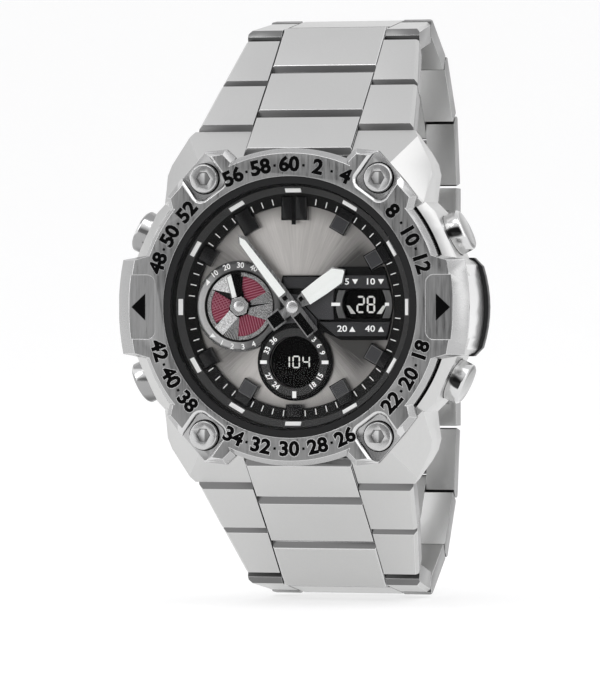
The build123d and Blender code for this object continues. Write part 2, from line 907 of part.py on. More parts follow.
def side_link(place, angle, index):
    """Right-hand side link, narrowed in plan from this hinge to the next."""
    inner = centre_half_width + side_gap
    wide = width_at(index)
    narrow = width_at(index + 1)
    length = ear_far_end()
    plane = link_plane(place, angle)
    body = bar_across(plane, ear_points(length), inner, wide)
    slope = (wide - narrow) / link_pitch
    low = plane.from_local_coords((0, -link_thickness, 0))
    plan = Plane(origin=low, x_dir=plane.x_dir, z_dir=plane.y_dir)
    if slope > 0:
        start = -ear_reach
        waste = outline([(start, -wide), (length + overrun, -wide + slope * (length + overrun - start)),
                         (length + overrun, -wide - overrun), (start, -wide - overrun)])
        body -= extrude(plan * waste, 2 * link_thickness)
    long_edges = [edge for edge in body.edges() if edge.length > length / 2]
    outer_edge = max(long_edges, key=lambda edge: edge.center().X + plane.to_local_coords(edge.center()).Y)
    body = chamfer(outer_edge, side_edge)
    for along in (0, link_pitch * cross_pin_share):
        body -= link_pin(plane, along, link_pin_radius, inner + link_pin_bite)
    return one_solid(body)


def link_pin(plane, along, radius, half):
    return extrude(plane.offset(-half) * (Pos(along, 0) * Circle(radius)), 2 * half)


def centre_block(plane, near, far, bored):
    """Centre link: a bar with small edges, bored for the pins at the given places."""
    half = centre_half_width
    body = bar_across(plane, centre_points(near, far), -half, half)
    top_edges = [
        edge for edge in body.edges()
        if edge.length > (far - near) / 2 and abs(edge.center().X) > half / 2
        and plane.to_local_coords(edge.center()).Y > 0
    ]
    body = chamfer(top_edges, centre_side_edge)
    for along, radius in bored:
        body -= link_pin(plane, along, radius, half + overrun)
    return body


def centre_link(place, angle):
    plane = link_plane(place, angle)
    bored = ((link_pitch * cross_pin_share, link_pin_radius), (link_pitch, link_pin_radius + link_pin_gap))
    return centre_block(plane, centre_near_end(), link_pitch + tongue_reach, bored)


def link_pins(place, angle):
    plane = link_plane(place, angle)
    half = centre_half_width + side_gap + link_pin_bite
    return [link_pin(plane, along, link_pin_radius, half) for along in (0, link_pitch * cross_pin_share)]


def end_link():
    """End link fixed between the shoulders, with the tongue for the first side links."""
    place = (link_first_depth, link_first_height)
    plane = link_plane(place, link_angles[0])
    bar_place = -end_link_length * lug_bar_share
    bored = ((bar_place, lug_bar_radius), (0, link_pin_radius + link_pin_gap))
    body = centre_block(plane, -end_link_length, tongue_reach, bored)
    room = shell_ring_radius + inner_gap
    return one_solid(body - slab(Circle(room), 0, shell_back_depth + overrun))


def bracelet_units():
    """Centre link, side links and pins of each unit of the upper half, head first."""
    units = []
    for index, angle in enumerate(link_angles):
        place = bracelet_path()[index]
        centre = one_solid(centre_link(place, angle))
        sides = both_sides(side_link(place, angle, index))
        units.append((centre, sides, link_pins(place, angle)))
    return units


# Clasp.
def clasp_face():
    """Depth of the clasp's outer face, level with the last links."""
    return bracelet_path()[-1][0] + link_thickness / 2


def clasp_bar(points, low, high):
    """Side view in drop below the clasp's outer face and height, carried across the watch."""
    face = clasp_face() - wrist_depth
    shape = outline([(face - drop, height) for drop, height in points])
    return extrude(Plane.YZ.offset(low) * shape, high - low)


def clasp_round(drop, height, radius, low, high):
    place = Plane.YZ.offset(low) * (Pos(clasp_face() - wrist_depth - drop, height) * Circle(radius))
    return extrude(place, high - low)


def box_points(near, far, low, high):
    return [(near, low), (near, high), (far, high), (far, low)]


def cover_end():
    return bracelet_path()[-1][1]


def build_cover():
    half_width = link_narrow_half_width
    roof_end = cover_end() - centre_near_end()
    ear_end = cover_end() + ear_reach - ear_edge / 4
    edge = cover_edge
    section = [
        (0, -ear_end + edge), (0, ear_end - edge), (edge, ear_end), (cover_depth, ear_end),
        (cover_depth, -ear_end), (edge, -ear_end),
    ]
    body = clasp_bar(section, -half_width, half_width)
    inside = half_width - cover_wall
    body -= clasp_bar(box_points(cover_roof, cover_depth + overrun, -roof_end, roof_end), -inside, inside)
    tongue_room = centre_half_width + side_gap
    for sign in (1, -1):
        low, high = sorted((sign * roof_end, sign * (ear_end + overrun)))
        body -= clasp_bar(box_points(-overrun, cover_depth + overrun, low, high), -tongue_room, tongue_room)
    rims = [edge_line for edge_line in body.edges() if edge_line.length > roof_end
            and abs(edge_line.center().X) > inside and edge_line.center().Y > clasp_face() - wrist_depth - edge]
    body = chamfer(rims, cover_edge)
    pin_reach = inside + cover_wall / 2
    body -= clasp_round(cover_pivot_drop, cover_pivot_height, clasp_pin_radius, -pin_reach, pin_reach)
    for side in both_sides(button_window(0)):
        body -= side
    return one_solid(body)


def button_window(shrink):
    half = button_length / 2 - shrink
    near = button_drop - button_width / 2 + shrink
    far = button_drop + button_width / 2 - shrink
    low = link_narrow_half_width - cover_wall - overrun
    high = link_narrow_half_width + overrun
    return clasp_bar(box_points(near, far, button_height - half, button_height + half), low, high)


def build_button():
    half = button_length / 2 - button_gap
    near = button_drop - button_width / 2 + button_gap
    far = button_drop + button_width / 2 - button_gap
    outer = link_narrow_half_width + button_proud
    inner = link_narrow_half_width - cover_wall - button_reach + button_travel + button_gap
    body = clasp_bar(box_points(near, far, button_height - half, button_height + half), inner, outer)
    outer_edges = body.edges().group_by(Axis.X)[-1]
    return one_solid(chamfer(outer_edges, button_proud / 3))


def build_outer_blade():
    near = cover_roof + blade_gap
    far = near + blade_thickness
    half = outer_blade_half_width
    notch_half = outer_blade_notch_half_width
    knuckle_half = fold_knuckle_half_width
    body = clasp_bar(box_points(near, far, cover_pivot_height, fold_pivot_height), -half, half)
    notch_top = cover_pivot_height + 3 * cover_knuckle_radius
    notch_low = cover_pivot_height - 2 * cover_knuckle_radius
    notch = box_points(near - overrun, far + overrun, notch_low, notch_top)
    body -= clasp_bar(notch, -notch_half, notch_half)
    side_room = fold_pivot_height - fold_knuckle_radius - blade_gap
    beside = box_points(near - overrun, far + overrun, side_room, fold_pivot_height + overrun)
    for low, high in ((knuckle_half, through), (-through, -knuckle_half)):
        body -= clasp_bar(beside, low, high)
    body += clasp_round(fold_pivot_drop, fold_pivot_height, fold_knuckle_radius, -knuckle_half, knuckle_half)
    for low, high in ((notch_half, half), (-half, -notch_half)):
        body += clasp_round(cover_pivot_drop, cover_pivot_height, cover_knuckle_radius, low, high)
    body -= clasp_round(fold_pivot_drop, fold_pivot_height, clasp_pin_radius, -through, through)
    cover_bore = clasp_pin_radius + clasp_pin_gap
    body -= clasp_round(cover_pivot_drop, cover_pivot_height, cover_bore, -through, through)
    return one_solid(body)


def build_fold_pin():
    reach = inner_blade_half_width
    return clasp_round(fold_pivot_drop, fold_pivot_height, clasp_pin_radius, -reach, reach)


def build_cover_pin():
    reach = link_narrow_half_width - cover_wall / 2
    return clasp_round(cover_pivot_drop, cover_pivot_height, clasp_pin_radius, -reach, reach)


def build_inner_blade():
    near = inner_blade_drop
    far = near + blade_thickness
    half = inner_blade_half_width
    hook_half = hook_half_width
    eye = -cover_end()
    knee = eye + hook_shoulder
    body = clasp_bar(box_points(near, far, knee, fold_pivot_height), -half, half)
    pivot_drop = link_thickness / 2
    rise = [
        (near, knee + blade_thickness), (far, knee + blade_thickness), (far, knee),
        (pivot_drop + blade_thickness / 2, eye), (pivot_drop - blade_thickness / 2, eye), (near, knee),
    ]
    body += clasp_bar(rise, -hook_half, hook_half)
    body += clasp_round(pivot_drop, eye, hook_radius, -hook_half, hook_half)
    room_side = fold_knuckle_half_width + side_gap
    room_low = fold_pivot_height - fold_knuckle_radius - blade_gap
    room_high = fold_pivot_height + 2 * fold_knuckle_radius
    for low, high in ((room_side, half), (-half, -room_side)):
        body += clasp_round(fold_pivot_drop, fold_pivot_height, fold_knuckle_radius, low, high)
    body -= clasp_bar(box_points(near - overrun, far + overrun, room_low, room_high), -room_side, room_side)
    fold_bore = clasp_pin_radius + clasp_pin_gap
    body -= clasp_round(fold_pivot_drop, fold_pivot_height, fold_bore, -through, through)
    body -= clasp_round(pivot_drop, eye, link_pin_radius + link_pin_gap, -through, through)
    return one_solid(body)


def hook_room():
    """Fork in the last lower centre link that takes the inner blade's eye."""
    half = hook_half_width + hook_side_gap
    near = -hook_radius - swing_gap
    place = bracelet_path()[-1]
    plane = link_plane(place, link_angles[-1])
    far = 2 * tongue_reach
    tall = link_thickness
    points = [(near, -tall), (near, tall), (far, tall), (far, -tall)]
    return bar_across(plane, points, -half, half)


def tongue_pin():
    """Pin in the end of the last centre link, no longer than the link is wide."""
    place = bracelet_path()[-1]
    return link_pin(link_plane(place, link_angles[-1]), 0, link_pin_radius, centre_half_width)


def write_head():
    save("bezel", build_bezel())
    save("bezel_screws", *four_corners(build_bezel_screw()))
    save("case_shell", build_shell())
    save("inner_case", build_inner_case())
    save("crystal", build_crystal())
    save("crystal_seal", build_crystal_seal())
    save("dial_ring", build_dial_ring())
    save("dial_plate", build_dial_plate())
    save("hour_markers", *build_markers())
    save("small_dial", build_small_dial())
    save("window_frame", build_window_frame())
    save("window_panels", *build_window_panels())
    save("hour_hand", build_hour_hand())
    save("minute_hand", build_minute_hand())
    save("small_hand", build_small_hand())
    save("works", build_works())
    save("circuit_board", build_board())
    save("battery", build_battery())
    save("case_back", build_back())
    save("case_back_seal", build_back_seal())
    pushers = four_corners(build_pusher())
    for name, pusher in zip(("pusher_2", "pusher_10", "pusher_4", "pusher_8"), pushers):
        save(name, pusher)
    save("pusher_springs", *four_corners(build_pusher_spring()))


def write_bracelet():
    upper_end = end_link()
    save("upper_end_link", upper_end)
    save("lower_end_link", mirror(upper_end, Plane.XY))
    bar = lug_bar(inner_gap)
    save("lug_spring_bars", bar, mirror(bar, Plane.XY))
    last = len(link_angles)
    for number, (centre, sides, pins) in enumerate(bracelet_units(), start=1):
        low_centre = centre
        pins_here = list(pins)
        if number == last:
            low_centre = one_solid(centre - hook_room())
            pins_here.append(tongue_pin())
        save(f"upper_link_{number}_centre", centre)
        save(f"upper_link_{number}_sides", *sides, *pins_here)
        save(f"lower_link_{number}_centre", mirror(low_centre, Plane.XY))
        save(f"lower_link_{number}_sides", *[mirror(piece, Plane.XY) for piece in (*sides, *pins_here)])


def write_clasp():
    save("clasp_cover", build_cover(), build_cover_pin())
    save("clasp_outer_blade", build_outer_blade(), build_fold_pin())
    save("clasp_inner_blade", build_inner_blade())
    right, left = both_sides(build_button())
    save("clasp_button_right", right)
    save("clasp_button_left", left)


write_head()
write_bracelet()
write_clasp()

for place in bracelet_path():
    print("hinge at depth and height", [round(value, 3) for value in place])
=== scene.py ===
# %% [markdown]
# A steel wristwatch on a link bracelet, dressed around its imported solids.
# The frame holds every solid at its real place and size in metres: +X is 3 o'clock, +Z is
# 12 o'clock, and the dial faces -Y. Here the solids get softened edges, finishes and the fine
# printed and raised marks that are too small to be parts of their own.

# %% Load the frame
import json
from math import atan2, cos, degrees, hypot, pi, radians, sin, sqrt, tau

import bmesh
import bpy
from mathutils import Matrix, Vector


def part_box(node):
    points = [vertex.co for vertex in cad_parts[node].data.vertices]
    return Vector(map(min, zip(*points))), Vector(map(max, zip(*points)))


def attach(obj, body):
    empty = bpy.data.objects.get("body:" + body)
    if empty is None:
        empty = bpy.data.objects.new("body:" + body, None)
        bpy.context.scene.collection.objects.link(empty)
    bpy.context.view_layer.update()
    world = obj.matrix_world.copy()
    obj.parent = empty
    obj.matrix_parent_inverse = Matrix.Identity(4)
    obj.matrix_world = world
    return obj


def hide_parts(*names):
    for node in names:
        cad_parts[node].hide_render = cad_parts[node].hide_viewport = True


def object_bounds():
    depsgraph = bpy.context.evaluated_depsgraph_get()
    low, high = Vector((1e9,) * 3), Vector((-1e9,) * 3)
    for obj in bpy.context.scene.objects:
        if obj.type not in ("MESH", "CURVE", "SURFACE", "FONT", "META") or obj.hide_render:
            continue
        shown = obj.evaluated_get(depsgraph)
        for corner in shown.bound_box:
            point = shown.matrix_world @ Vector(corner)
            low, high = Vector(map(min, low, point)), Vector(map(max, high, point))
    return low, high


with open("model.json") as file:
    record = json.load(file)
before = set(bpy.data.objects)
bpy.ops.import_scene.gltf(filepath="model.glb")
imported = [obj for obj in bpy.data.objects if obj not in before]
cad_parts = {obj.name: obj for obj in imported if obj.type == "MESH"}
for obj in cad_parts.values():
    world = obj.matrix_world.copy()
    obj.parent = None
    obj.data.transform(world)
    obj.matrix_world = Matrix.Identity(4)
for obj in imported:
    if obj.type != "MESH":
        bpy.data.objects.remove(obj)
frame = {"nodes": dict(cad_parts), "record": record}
solid_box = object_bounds()
print("solids:", len(frame["nodes"]), "box:", [[round(value, 4) for value in corner] for corner in solid_box])

# %% [markdown]
# Depth is counted from the bezel's flat front, as a watchmaker would measure it, and lengths are
# written in millimetres. Short helpers turn them into the frame's metres and back.

# %% Units and depth
MM = 0.001
BEZEL_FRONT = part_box("bezel")[0][1]
DIAL_CENTRE = (0.0, 0.0)


def at_depth(depth):
    """The frame's Y, in metres, of a depth in millimetres behind the bezel's front."""
    return BEZEL_FRONT + depth * MM


def on_dial(across, up, depth):
    """A point in metres from millimetres across the dial, up it and behind the bezel's front."""
    return Vector((across * MM, at_depth(depth), up * MM))


def round_the_dial(angle, radius):
    """Across and up, in millimetres, at a clockwise angle in degrees from 12 o'clock."""
    return radius * sin(radians(angle)), radius * cos(radians(angle))


def front_depth(node):
    """Depth in millimetres of the frontmost point of a solid."""
    return (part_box(node)[0][1] - BEZEL_FRONT) / MM


print("bezel front at y =", round(BEZEL_FRONT, 5))

# %% [markdown]
# Three helpers for objects and meshes: one links a new object to the scene, one keeps the mesh that
# an object's modifiers or text make, and one turns a bmesh into a mesh.

# %% Objects and meshes
def placed(name, data):
    """A new object in the scene."""
    made = bpy.data.objects.new(name, data)
    bpy.context.scene.collection.objects.link(made)
    return made


def baked(holder):
    """The mesh that an object evaluates to; the object is removed."""
    graph = bpy.context.evaluated_depsgraph_get()
    mesh = bpy.data.meshes.new_from_object(holder.evaluated_get(graph), depsgraph=graph)
    bpy.data.objects.remove(holder)
    return mesh


def finished_mesh(shape, name, outwards=False):
    """The mesh that a bmesh holds, with its normals turned outwards if asked; the bmesh is freed."""
    if outwards:
        bmesh.ops.recalc_face_normals(shape, faces=shape.faces)
    mesh = bpy.data.meshes.new(name)
    shape.to_mesh(mesh)
    shape.free()
    return mesh


print("mesh helpers ready")

# %% [markdown]
# Node trees are easier to read as sums than as links. A Signal wraps one output socket, so that
# adding, multiplying or comparing signals adds the Math nodes. A Recipe is one node tree: its node
# method makes any node from its type, its settings and what its sockets get, and short methods
# make the kinds of node that come up most.

# %% Signals and recipes
class Signal:
    """One socket of a node tree that can be used in Python expressions."""

    def __init__(self, recipe, socket):
        self.recipe = recipe
        self.socket = socket

    def __add__(self, other):
        return self.recipe.math("ADD", self, other)

    def __mul__(self, other):
        return self.recipe.math("MULTIPLY", self, other)

    def __sub__(self, other):
        return self.recipe.math("SUBTRACT", self, other)

    def __rsub__(self, other):
        return self.recipe.math("SUBTRACT", other, self)

    def __truediv__(self, other):
        return self.recipe.math("DIVIDE", self, other)

    def __gt__(self, other):
        return self.recipe.math("GREATER_THAN", self, other)

    def __lt__(self, other):
        return self.recipe.math("LESS_THAN", self, other)


class Recipe:
    """A node tree that is written as expressions."""

    def __init__(self, tree):
        self.tree = tree

    def node(self, kind, settings=None, inputs=None):
        """Add one node, settings first, and return its outputs by name as signals."""
        made = self.tree.nodes.new(kind)
        for name, value in (settings or {}).items():
            setattr(made, name, value)
        for name, value in (inputs or {}).items():
            self.give(made.inputs[name], value)
        return {output.name: Signal(self, output) for output in made.outputs if output.enabled}

    def give(self, socket, value):
        """Link a signal to a socket, or set the socket to a plain value."""
        if isinstance(value, Signal):
            self.tree.links.new(value.socket, socket)
        else:
            socket.default_value = value

    def math(self, operation, *values):
        return self.node("ShaderNodeMath", {"operation": operation}, dict(enumerate(values)))["Value"]

    def smooth_step(self, value, low, high):
        """0 below low, 1 above high, and a smooth rise between them."""
        inputs = {"Value": value, "From Min": low, "From Max": high}
        return self.node("ShaderNodeMapRange", {"interpolation_type": "SMOOTHSTEP"}, inputs)["Result"]

    def split(self, vector):
        """The X, Y and Z of a vector, by name."""
        return self.node("ShaderNodeSeparateXYZ", None, {"Vector": vector})

    def combine(self, across, away, up):
        """A vector from its X, Y and Z."""
        return self.node("ShaderNodeCombineXYZ", None, {"X": across, "Y": away, "Z": up})["Vector"]

    def normal(self):
        """The X, Y and Z of the surface's own direction."""
        return self.split(self.node("ShaderNodeNewGeometry")["Normal"])

    def blend(self, factor, first, second):
        """Mix of two colours."""
        made = self.tree.nodes.new("ShaderNodeMix")
        made.data_type = "RGBA"
        for index, value in ((0, factor), (6, first), (7, second)):
            self.give(made.inputs[index], value)
        return Signal(self, made.outputs[2])


def grey(level):
    return (level, level, level, 1.0)


def scaled(tone, share):
    """A tone made darker or lighter, as a colour with its alpha."""
    return (*[min(1.0, level * share) for level in tone[:3]], 1.0)


print("recipes ready")

# %% [markdown]
# Every finish starts from the same shader, so one class makes it, sets its constant sockets and
# keeps the coordinates for what varies. Patterns read Object coordinates, which stay put on a piece
# that sits at the origin.

# %% A finish and its coordinates
class Finish(Recipe):
    """A material with one Principled shader, written as expressions of its coordinates."""

    def __init__(self, name, **constants):
        self.material = bpy.data.materials.new(name)
        self.material.use_nodes = True
        super().__init__(self.material.node_tree)
        self.shader = self.tree.nodes["Principled BSDF"]
        self.feed(**constants)
        self.place = self.node("ShaderNodeTexCoord")["Object"]

    def feed(self, **values):
        """Give signals or plain values to the shader's sockets, named with underscores for spaces."""
        for socket, value in values.items():
            self.give(self.shader.inputs[socket.replace("_", " ")], value)
        return self.material

    def noise(self, vector, scale, detail):
        inputs = {"Vector": vector, "Scale": scale, "Detail": detail}
        return self.node("ShaderNodeTexNoise", None, inputs)["Fac"]

    def stretched(self, sizes):
        """The coordinates scaled by a different number along each axis."""
        return self.node("ShaderNodeMapping", None, {"Vector": self.place, "Scale": sizes})["Vector"]

    def bumped(self, height, distance, strength):
        inputs = {"Height": height, "Distance": distance, "Strength": strength}
        return self.node("ShaderNodeBump", None, inputs)["Normal"]

    def polar(self, centre=DIAL_CENTRE):
        """Radius in metres and the unit direction about a centre in the dial's plane."""
        parts = self.split(self.place)
        across = parts["X"] - centre[0] * MM
        up = parts["Z"] - centre[1] * MM
        radius = self.math("SQRT", across * across + up * up)
        safe = self.math("MAXIMUM", radius, 0.0001)
        return radius, across / safe, up / safe


print("finish helpers ready")

# %% [markdown]
# Brushed steel is polished steel with thousands of parallel scratches. Noise stretched hard along
# one axis gives the scratches; it shades the colour a little, moves the roughness and tips the
# normal, so highlights smear across the grain as they do on the real metal.

# %% Brushed and satin steel
GRAIN_ACROSS = 9000.0
GRAIN_LENGTHS = 18.0


def brushed_steel(name, tone, along, roughness=0.34, contrast=0.16, depth=0.0000022):
    """Steel with its grain along one axis: 0 for X, 1 for Y, 2 for Z."""
    recipe = Finish(name, Metallic=1.0, IOR=2.2)
    sizes = [GRAIN_ACROSS, GRAIN_ACROSS, GRAIN_ACROSS]
    sizes[along] = GRAIN_ACROSS / GRAIN_LENGTHS
    fine = recipe.noise(recipe.stretched(sizes), 1.0, 2.0)
    wide = recipe.noise(recipe.stretched([size / 2.5 for size in sizes]), 1.0, 2.0)
    cloud = recipe.noise(recipe.place, 90.0, 2.0)
    grain = fine * 0.4 + wide * 0.6
    shade = (grain - 0.5) * contrast + (cloud - 0.5) * 0.06
    colour = recipe.blend(shade * 2.0 + 0.5, scaled(tone, 0.75), scaled(tone, 1.25))
    return recipe.feed(Base_Color=colour, Roughness=shade * 0.9 + roughness,
                       Normal=recipe.bumped(grain, depth, 0.6))


def polished_steel(name, tone, roughness=0.09):
    """Steel with a mirror polish and the faint wipe marks that keep it from looking drawn."""
    recipe = Finish(name, Metallic=1.0, IOR=2.2)
    smear = recipe.noise(recipe.stretched((260.0, 260.0, 900.0)), 1.0, 4.0)
    colour = recipe.blend(smear, scaled(tone, 0.93), scaled(tone, 1.0))
    return recipe.feed(Base_Color=colour, Roughness=(smear - 0.5) * 0.08 + roughness)


def barrel_steel():
    """Polished steel of a push button with painted reflections: a dark band on the right barrels, and on the
    darker left ones a light band and painted shade at the low end.
    """
    recipe = Finish("barrel_steel", Metallic=1.0, IOR=2.2)
    facing = recipe.normal()
    # Painted reflections and shade: a dark band along the front of the right barrels, a light band on the
    # left ones and painted shade at their low end.
    painted_dark_reflection = recipe.smooth_step(facing["Y"] * -1.0, 0.955, 0.985)
    right_barrel = recipe.blend(painted_dark_reflection, grey(0.68), grey(0.03))
    painted_light_reflection = recipe.smooth_step(facing["Z"], 0.1, 0.2) - recipe.smooth_step(facing["Z"], 0.5, 0.6)
    painted_low_shade = recipe.smooth_step(facing["Z"] * -1.0, 0.6, 0.9)
    left_barrel = recipe.blend(painted_low_shade, recipe.blend(painted_light_reflection, grey(0.36), grey(0.85)), grey(0.14))
    barrel = recipe.blend(recipe.split(recipe.place)["X"] > 0.0, left_barrel, right_barrel)
    cap = recipe.smooth_step(facing["X"] * facing["X"], 0.6, 0.9)
    smear = recipe.noise(recipe.place, 900.0, 2.0)
    colour = recipe.blend(cap, barrel, grey(0.22))
    return recipe.feed(Base_Color=colour, Roughness=(smear - 0.5) * 0.08 + 0.17)


bezel_top = brushed_steel("bezel_top", grey(0.27), 2, roughness=0.4, contrast=1.0, depth=0.000004)
# A darker brushed steel that paints shade on the pocket and socket walls.
painted_shade_steel = brushed_steel("painted_shade_steel", grey(0.16), 1, roughness=0.3, contrast=0.2)
satin = brushed_steel("satin_steel", (0.62, 0.62, 0.615), 2, roughness=0.34, contrast=0.08)
# A darker copy of the satin steel: painted shade on the flanks of the links and the clasp.
painted_shade_satin = brushed_steel("painted_shade_satin", grey(0.26), 1, roughness=0.3, contrast=0.1)
clasp_steel = brushed_steel("clasp_steel", (0.54, 0.54, 0.535), 2, roughness=0.36, contrast=0.14)
satin_edge = brushed_steel("satin_edge", grey(0.74), 2, roughness=0.25, contrast=0.05)
shell_side = brushed_steel("shell_side", grey(0.84), 2, roughness=0.28, contrast=0.06)
bezel_slope = brushed_steel("bezel_slope", grey(0.46), 1, roughness=0.28, contrast=0.1)
# Darker steels that paint shade on the links' slanted front edges and on the ends between links.
painted_shade_bevel = brushed_steel("painted_shade_bevel", grey(0.2), 0, roughness=0.3, contrast=0.1)
painted_shade_end = brushed_steel("painted_shade_end", grey(0.1), 0, roughness=0.4, contrast=0.1)
polished = polished_steel("polished_steel", grey(0.78))
screw_steel = polished_steel("screw_steel", grey(0.6), roughness=0.24)
nut_steel = polished_steel("nut_steel", grey(0.42), roughness=0.26)
edge_polish = polished_steel("edge_polish", grey(0.7), roughness=0.14)
print("steels:", bezel_top.name, satin.name, clasp_steel.name, polished.name)

# %% [markdown]
# The moulded and painted materials are resin with a fine orange peel, soft rubber, lacquer, paint
# and ink. Each has its own small variation, because one flat black reads as a hole.

# %% Resin, rubber, lacquer and paint
def moulded(name, tone, roughness, grain=1800.0, depth=0.000006, coat=0.0, spread=0.25, shine=0.3):
    """Moulded or painted surface with a fine grain."""
    recipe = Finish(
        name, Coat_Weight=coat, Coat_Roughness=0.05, Specular_IOR_Level=shine,
    )
    peel = recipe.noise(recipe.place, grain, 3.0)
    cloud = recipe.noise(recipe.place, 160.0, 2.0)
    colour = recipe.blend(cloud, scaled(tone, 1 - spread), scaled(tone, 1 + spread))
    return recipe.feed(Base_Color=colour, Roughness=(peel - 0.5) * 0.16 + roughness,
                       Normal=recipe.bumped(peel, depth, 0.5))


resin = moulded("black_resin", (0.012, 0.012, 0.0125), 0.38)
rubber = moulded("black_seal", (0.006, 0.006, 0.0065), 0.55, grain=3000.0)
black_gloss = moulded("black_gloss", (0.005, 0.005, 0.0055), 0.16, depth=0.000001, coat=0.12, shine=0.22)
black_satin = moulded("black_satin", (0.003, 0.003, 0.0033), 0.4, grain=5000.0, depth=0.000003, shine=0.1)
white_paint = moulded("white_paint", (0.95, 0.95, 0.94), 0.4, grain=7000.0, depth=0.000002, spread=0.03)
board_green = moulded("board_green", (0.02, 0.13, 0.05), 0.4)
works_plastic = moulded("works_plastic", (0.06, 0.06, 0.062), 0.5)
ink = moulded("engraving_ink", (0.0015, 0.0015, 0.0016), 0.6, grain=6000.0, depth=0.0000005, shine=0.04)
print("moulded and painted materials ready")

# %% [markdown]
# The camera stands where the photograph was taken: 14.5 degrees to the right of the dial, level
# with it and about 0.7 m away, with a long lens. The lens shift puts the dial's centre where it
# lies in the picture and is only as large as that needs.

# %% Camera
PHOTO_WIDTH, PHOTO_HEIGHT = 600, 696
DIAL_PIXEL = (289.0, 307.0)
PIXELS_PER_MM = 7.2
CAMERA_AWAY = 0.7
CAMERA_TURN = radians(14.5)
FILM = 36.0

camera_data = bpy.data.cameras.new("camera")
camera_data.sensor_width = FILM
camera_data.lens = PIXELS_PER_MM / MM * CAMERA_AWAY / PHOTO_HEIGHT * FILM
camera_data.shift_x = (PHOTO_WIDTH / 2 - DIAL_PIXEL[0]) / PHOTO_HEIGHT
camera_data.shift_y = (DIAL_PIXEL[1] - PHOTO_HEIGHT / 2) / PHOTO_HEIGHT
camera_data.clip_start = 0.01
camera = placed("camera", camera_data)
camera.location = on_dial(0, 0, 0) + CAMERA_AWAY * Vector((sin(CAMERA_TURN), -cos(CAMERA_TURN), 0))
camera.rotation_euler = (pi / 2, 0, CAMERA_TURN)
bpy.context.scene.camera = camera
bpy.context.scene.view_settings.view_transform = "Standard"
print("lens", round(camera_data.lens, 1), "mm at", [round(value, 3) for value in camera.location])

# %% [markdown]
# Polished metal shows its surroundings, so the light is half of its look. The sky is a pale
# studio, a little brighter above and below, dark round the camera and with a dark flag to the
# right. Four soft boxes give the broad highlights. The floor is one pale sheet that curves up
# behind the watch and at its sides.

# %% Studio
def build_sky():
    """World whose brightness depends only on direction."""
    world = bpy.data.worlds.new("studio")
    world.use_nodes = True
    recipe = Recipe(world.node_tree)
    direction = recipe.node("ShaderNodeTexCoord")["Generated"]
    parts = recipe.split(direction)
    above = recipe.math("ABSOLUTE", parts["Z"])
    around_camera = recipe.smooth_step(parts["Y"], -0.72, -0.93)
    flag = recipe.smooth_step(parts["X"], 0.4, 0.55) - recipe.smooth_step(parts["X"], 0.72, 0.8)
    lit = recipe.smooth_step(above, 0.25, 0.7)
    level = lit * 0.1 + 0.74 - around_camera * 0.46 - flag * (1 - lit) * 0.4
    background = world.node_tree.nodes["Background"]
    tone = recipe.node("ShaderNodeCombineColor", None, {0: level, 1: level, 2: level * 1.01})["Color"]
    world.node_tree.links.new(tone.socket, background.inputs["Color"])
    background.inputs["Strength"].default_value = 1.0
    bpy.context.scene.world = world


def soft_box(name, place, width, height, power):
    """Rectangular lamp that faces the origin."""
    data = bpy.data.lights.new(name, "AREA")
    data.shape = "RECTANGLE"
    data.size, data.size_y, data.energy = width, height, power
    lamp = placed(name, data)
    lamp.location = place
    lamp.rotation_euler = (Vector((0, 0, 0)) - Vector(place)).to_track_quat("-Z", "Y").to_euler()


def build_floor():
    """Pale sheet that lies under the watch and curves up behind it and at its sides."""
    lowest = solid_box[0][2] - 0.3 * MM
    sweep, near, far, rise, half, side_rise = 0.5, -3.0, 1.6, 2.4, 3.0, 1.1
    turns = [step / 16 * pi / 2 for step in range(1, 17)]
    profile = [(near, lowest), (far - sweep, lowest)]
    profile += [(far - sweep + sweep * sin(turn), lowest + sweep - sweep * cos(turn)) for turn in turns]
    profile.append((far, rise))
    right = [(half, 0.0)] + [(half + sweep * sin(turn), sweep - sweep * cos(turn)) for turn in turns]
    right.append((half + sweep, side_rise))
    section = [(-side, lift) for side, lift in reversed(right)] + right
    shape = bmesh.new()
    rows = [
        [shape.verts.new((side, depth, height + lift)) for side, lift in section] for depth, height in profile
    ]
    for first, second in zip(rows, rows[1:]):
        for place in range(len(section) - 1):
            shape.faces.new((first[place], first[place + 1], second[place + 1], second[place]))
    mesh = finished_mesh(shape, "floor")
    mesh.shade_smooth()
    floor = placed("floor", mesh)
    paper = moulded("floor_paper", (0.36, 0.36, 0.362), 0.8, grain=40.0, depth=0.00001, spread=0.01)
    shader = paper.node_tree.nodes["Principled BSDF"]
    shader.inputs["Emission Color"].default_value = grey(1.0)
    shader.inputs["Emission Strength"].default_value = 0.66
    mesh.materials.append(paper)


build_sky()
soft_box("top_box", (-0.1, -0.5, 0.85), 0.7, 0.35, 1.6)
soft_box("left_box", (-0.75, -0.75, 0.35), 0.3, 0.9, 1.8)
soft_box("right_box", (0.9, -0.3, 0.3), 0.3, 1.0, 1.0)
soft_box("corner_box", (0.54, -0.18, 0.83), 0.5, 0.5, 0.75)
build_floor()
print("studio ready")

# %% [markdown]
# A milled edge is never sharp: it catches a thin line of light. Each steel solid is copied, its
# loose triangles are welded and its flat faces joined, and a narrow Bevel rounds what is left of
# the corners. The rounded strips get their own finish, so edges can be polished on a brushed part.

# %% Pieces from solids
record = frame["record"]
body_of_node = {node: body for body, nodes in record["behaviour"]["bodies"].items() for node in nodes}
slot_of_node = {entry["node"]: entry["material_slot"] for entry in record["subparts"]}
WELD = 0.000002
FLAT = radians(0.7)


def add_piece(name, mesh, body, slot, *finishes):
    """Link a mesh as a piece that rides on a body."""
    piece = placed(name, mesh)
    for finish in finishes:
        mesh.materials.append(finish)
    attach(piece, body)
    return piece


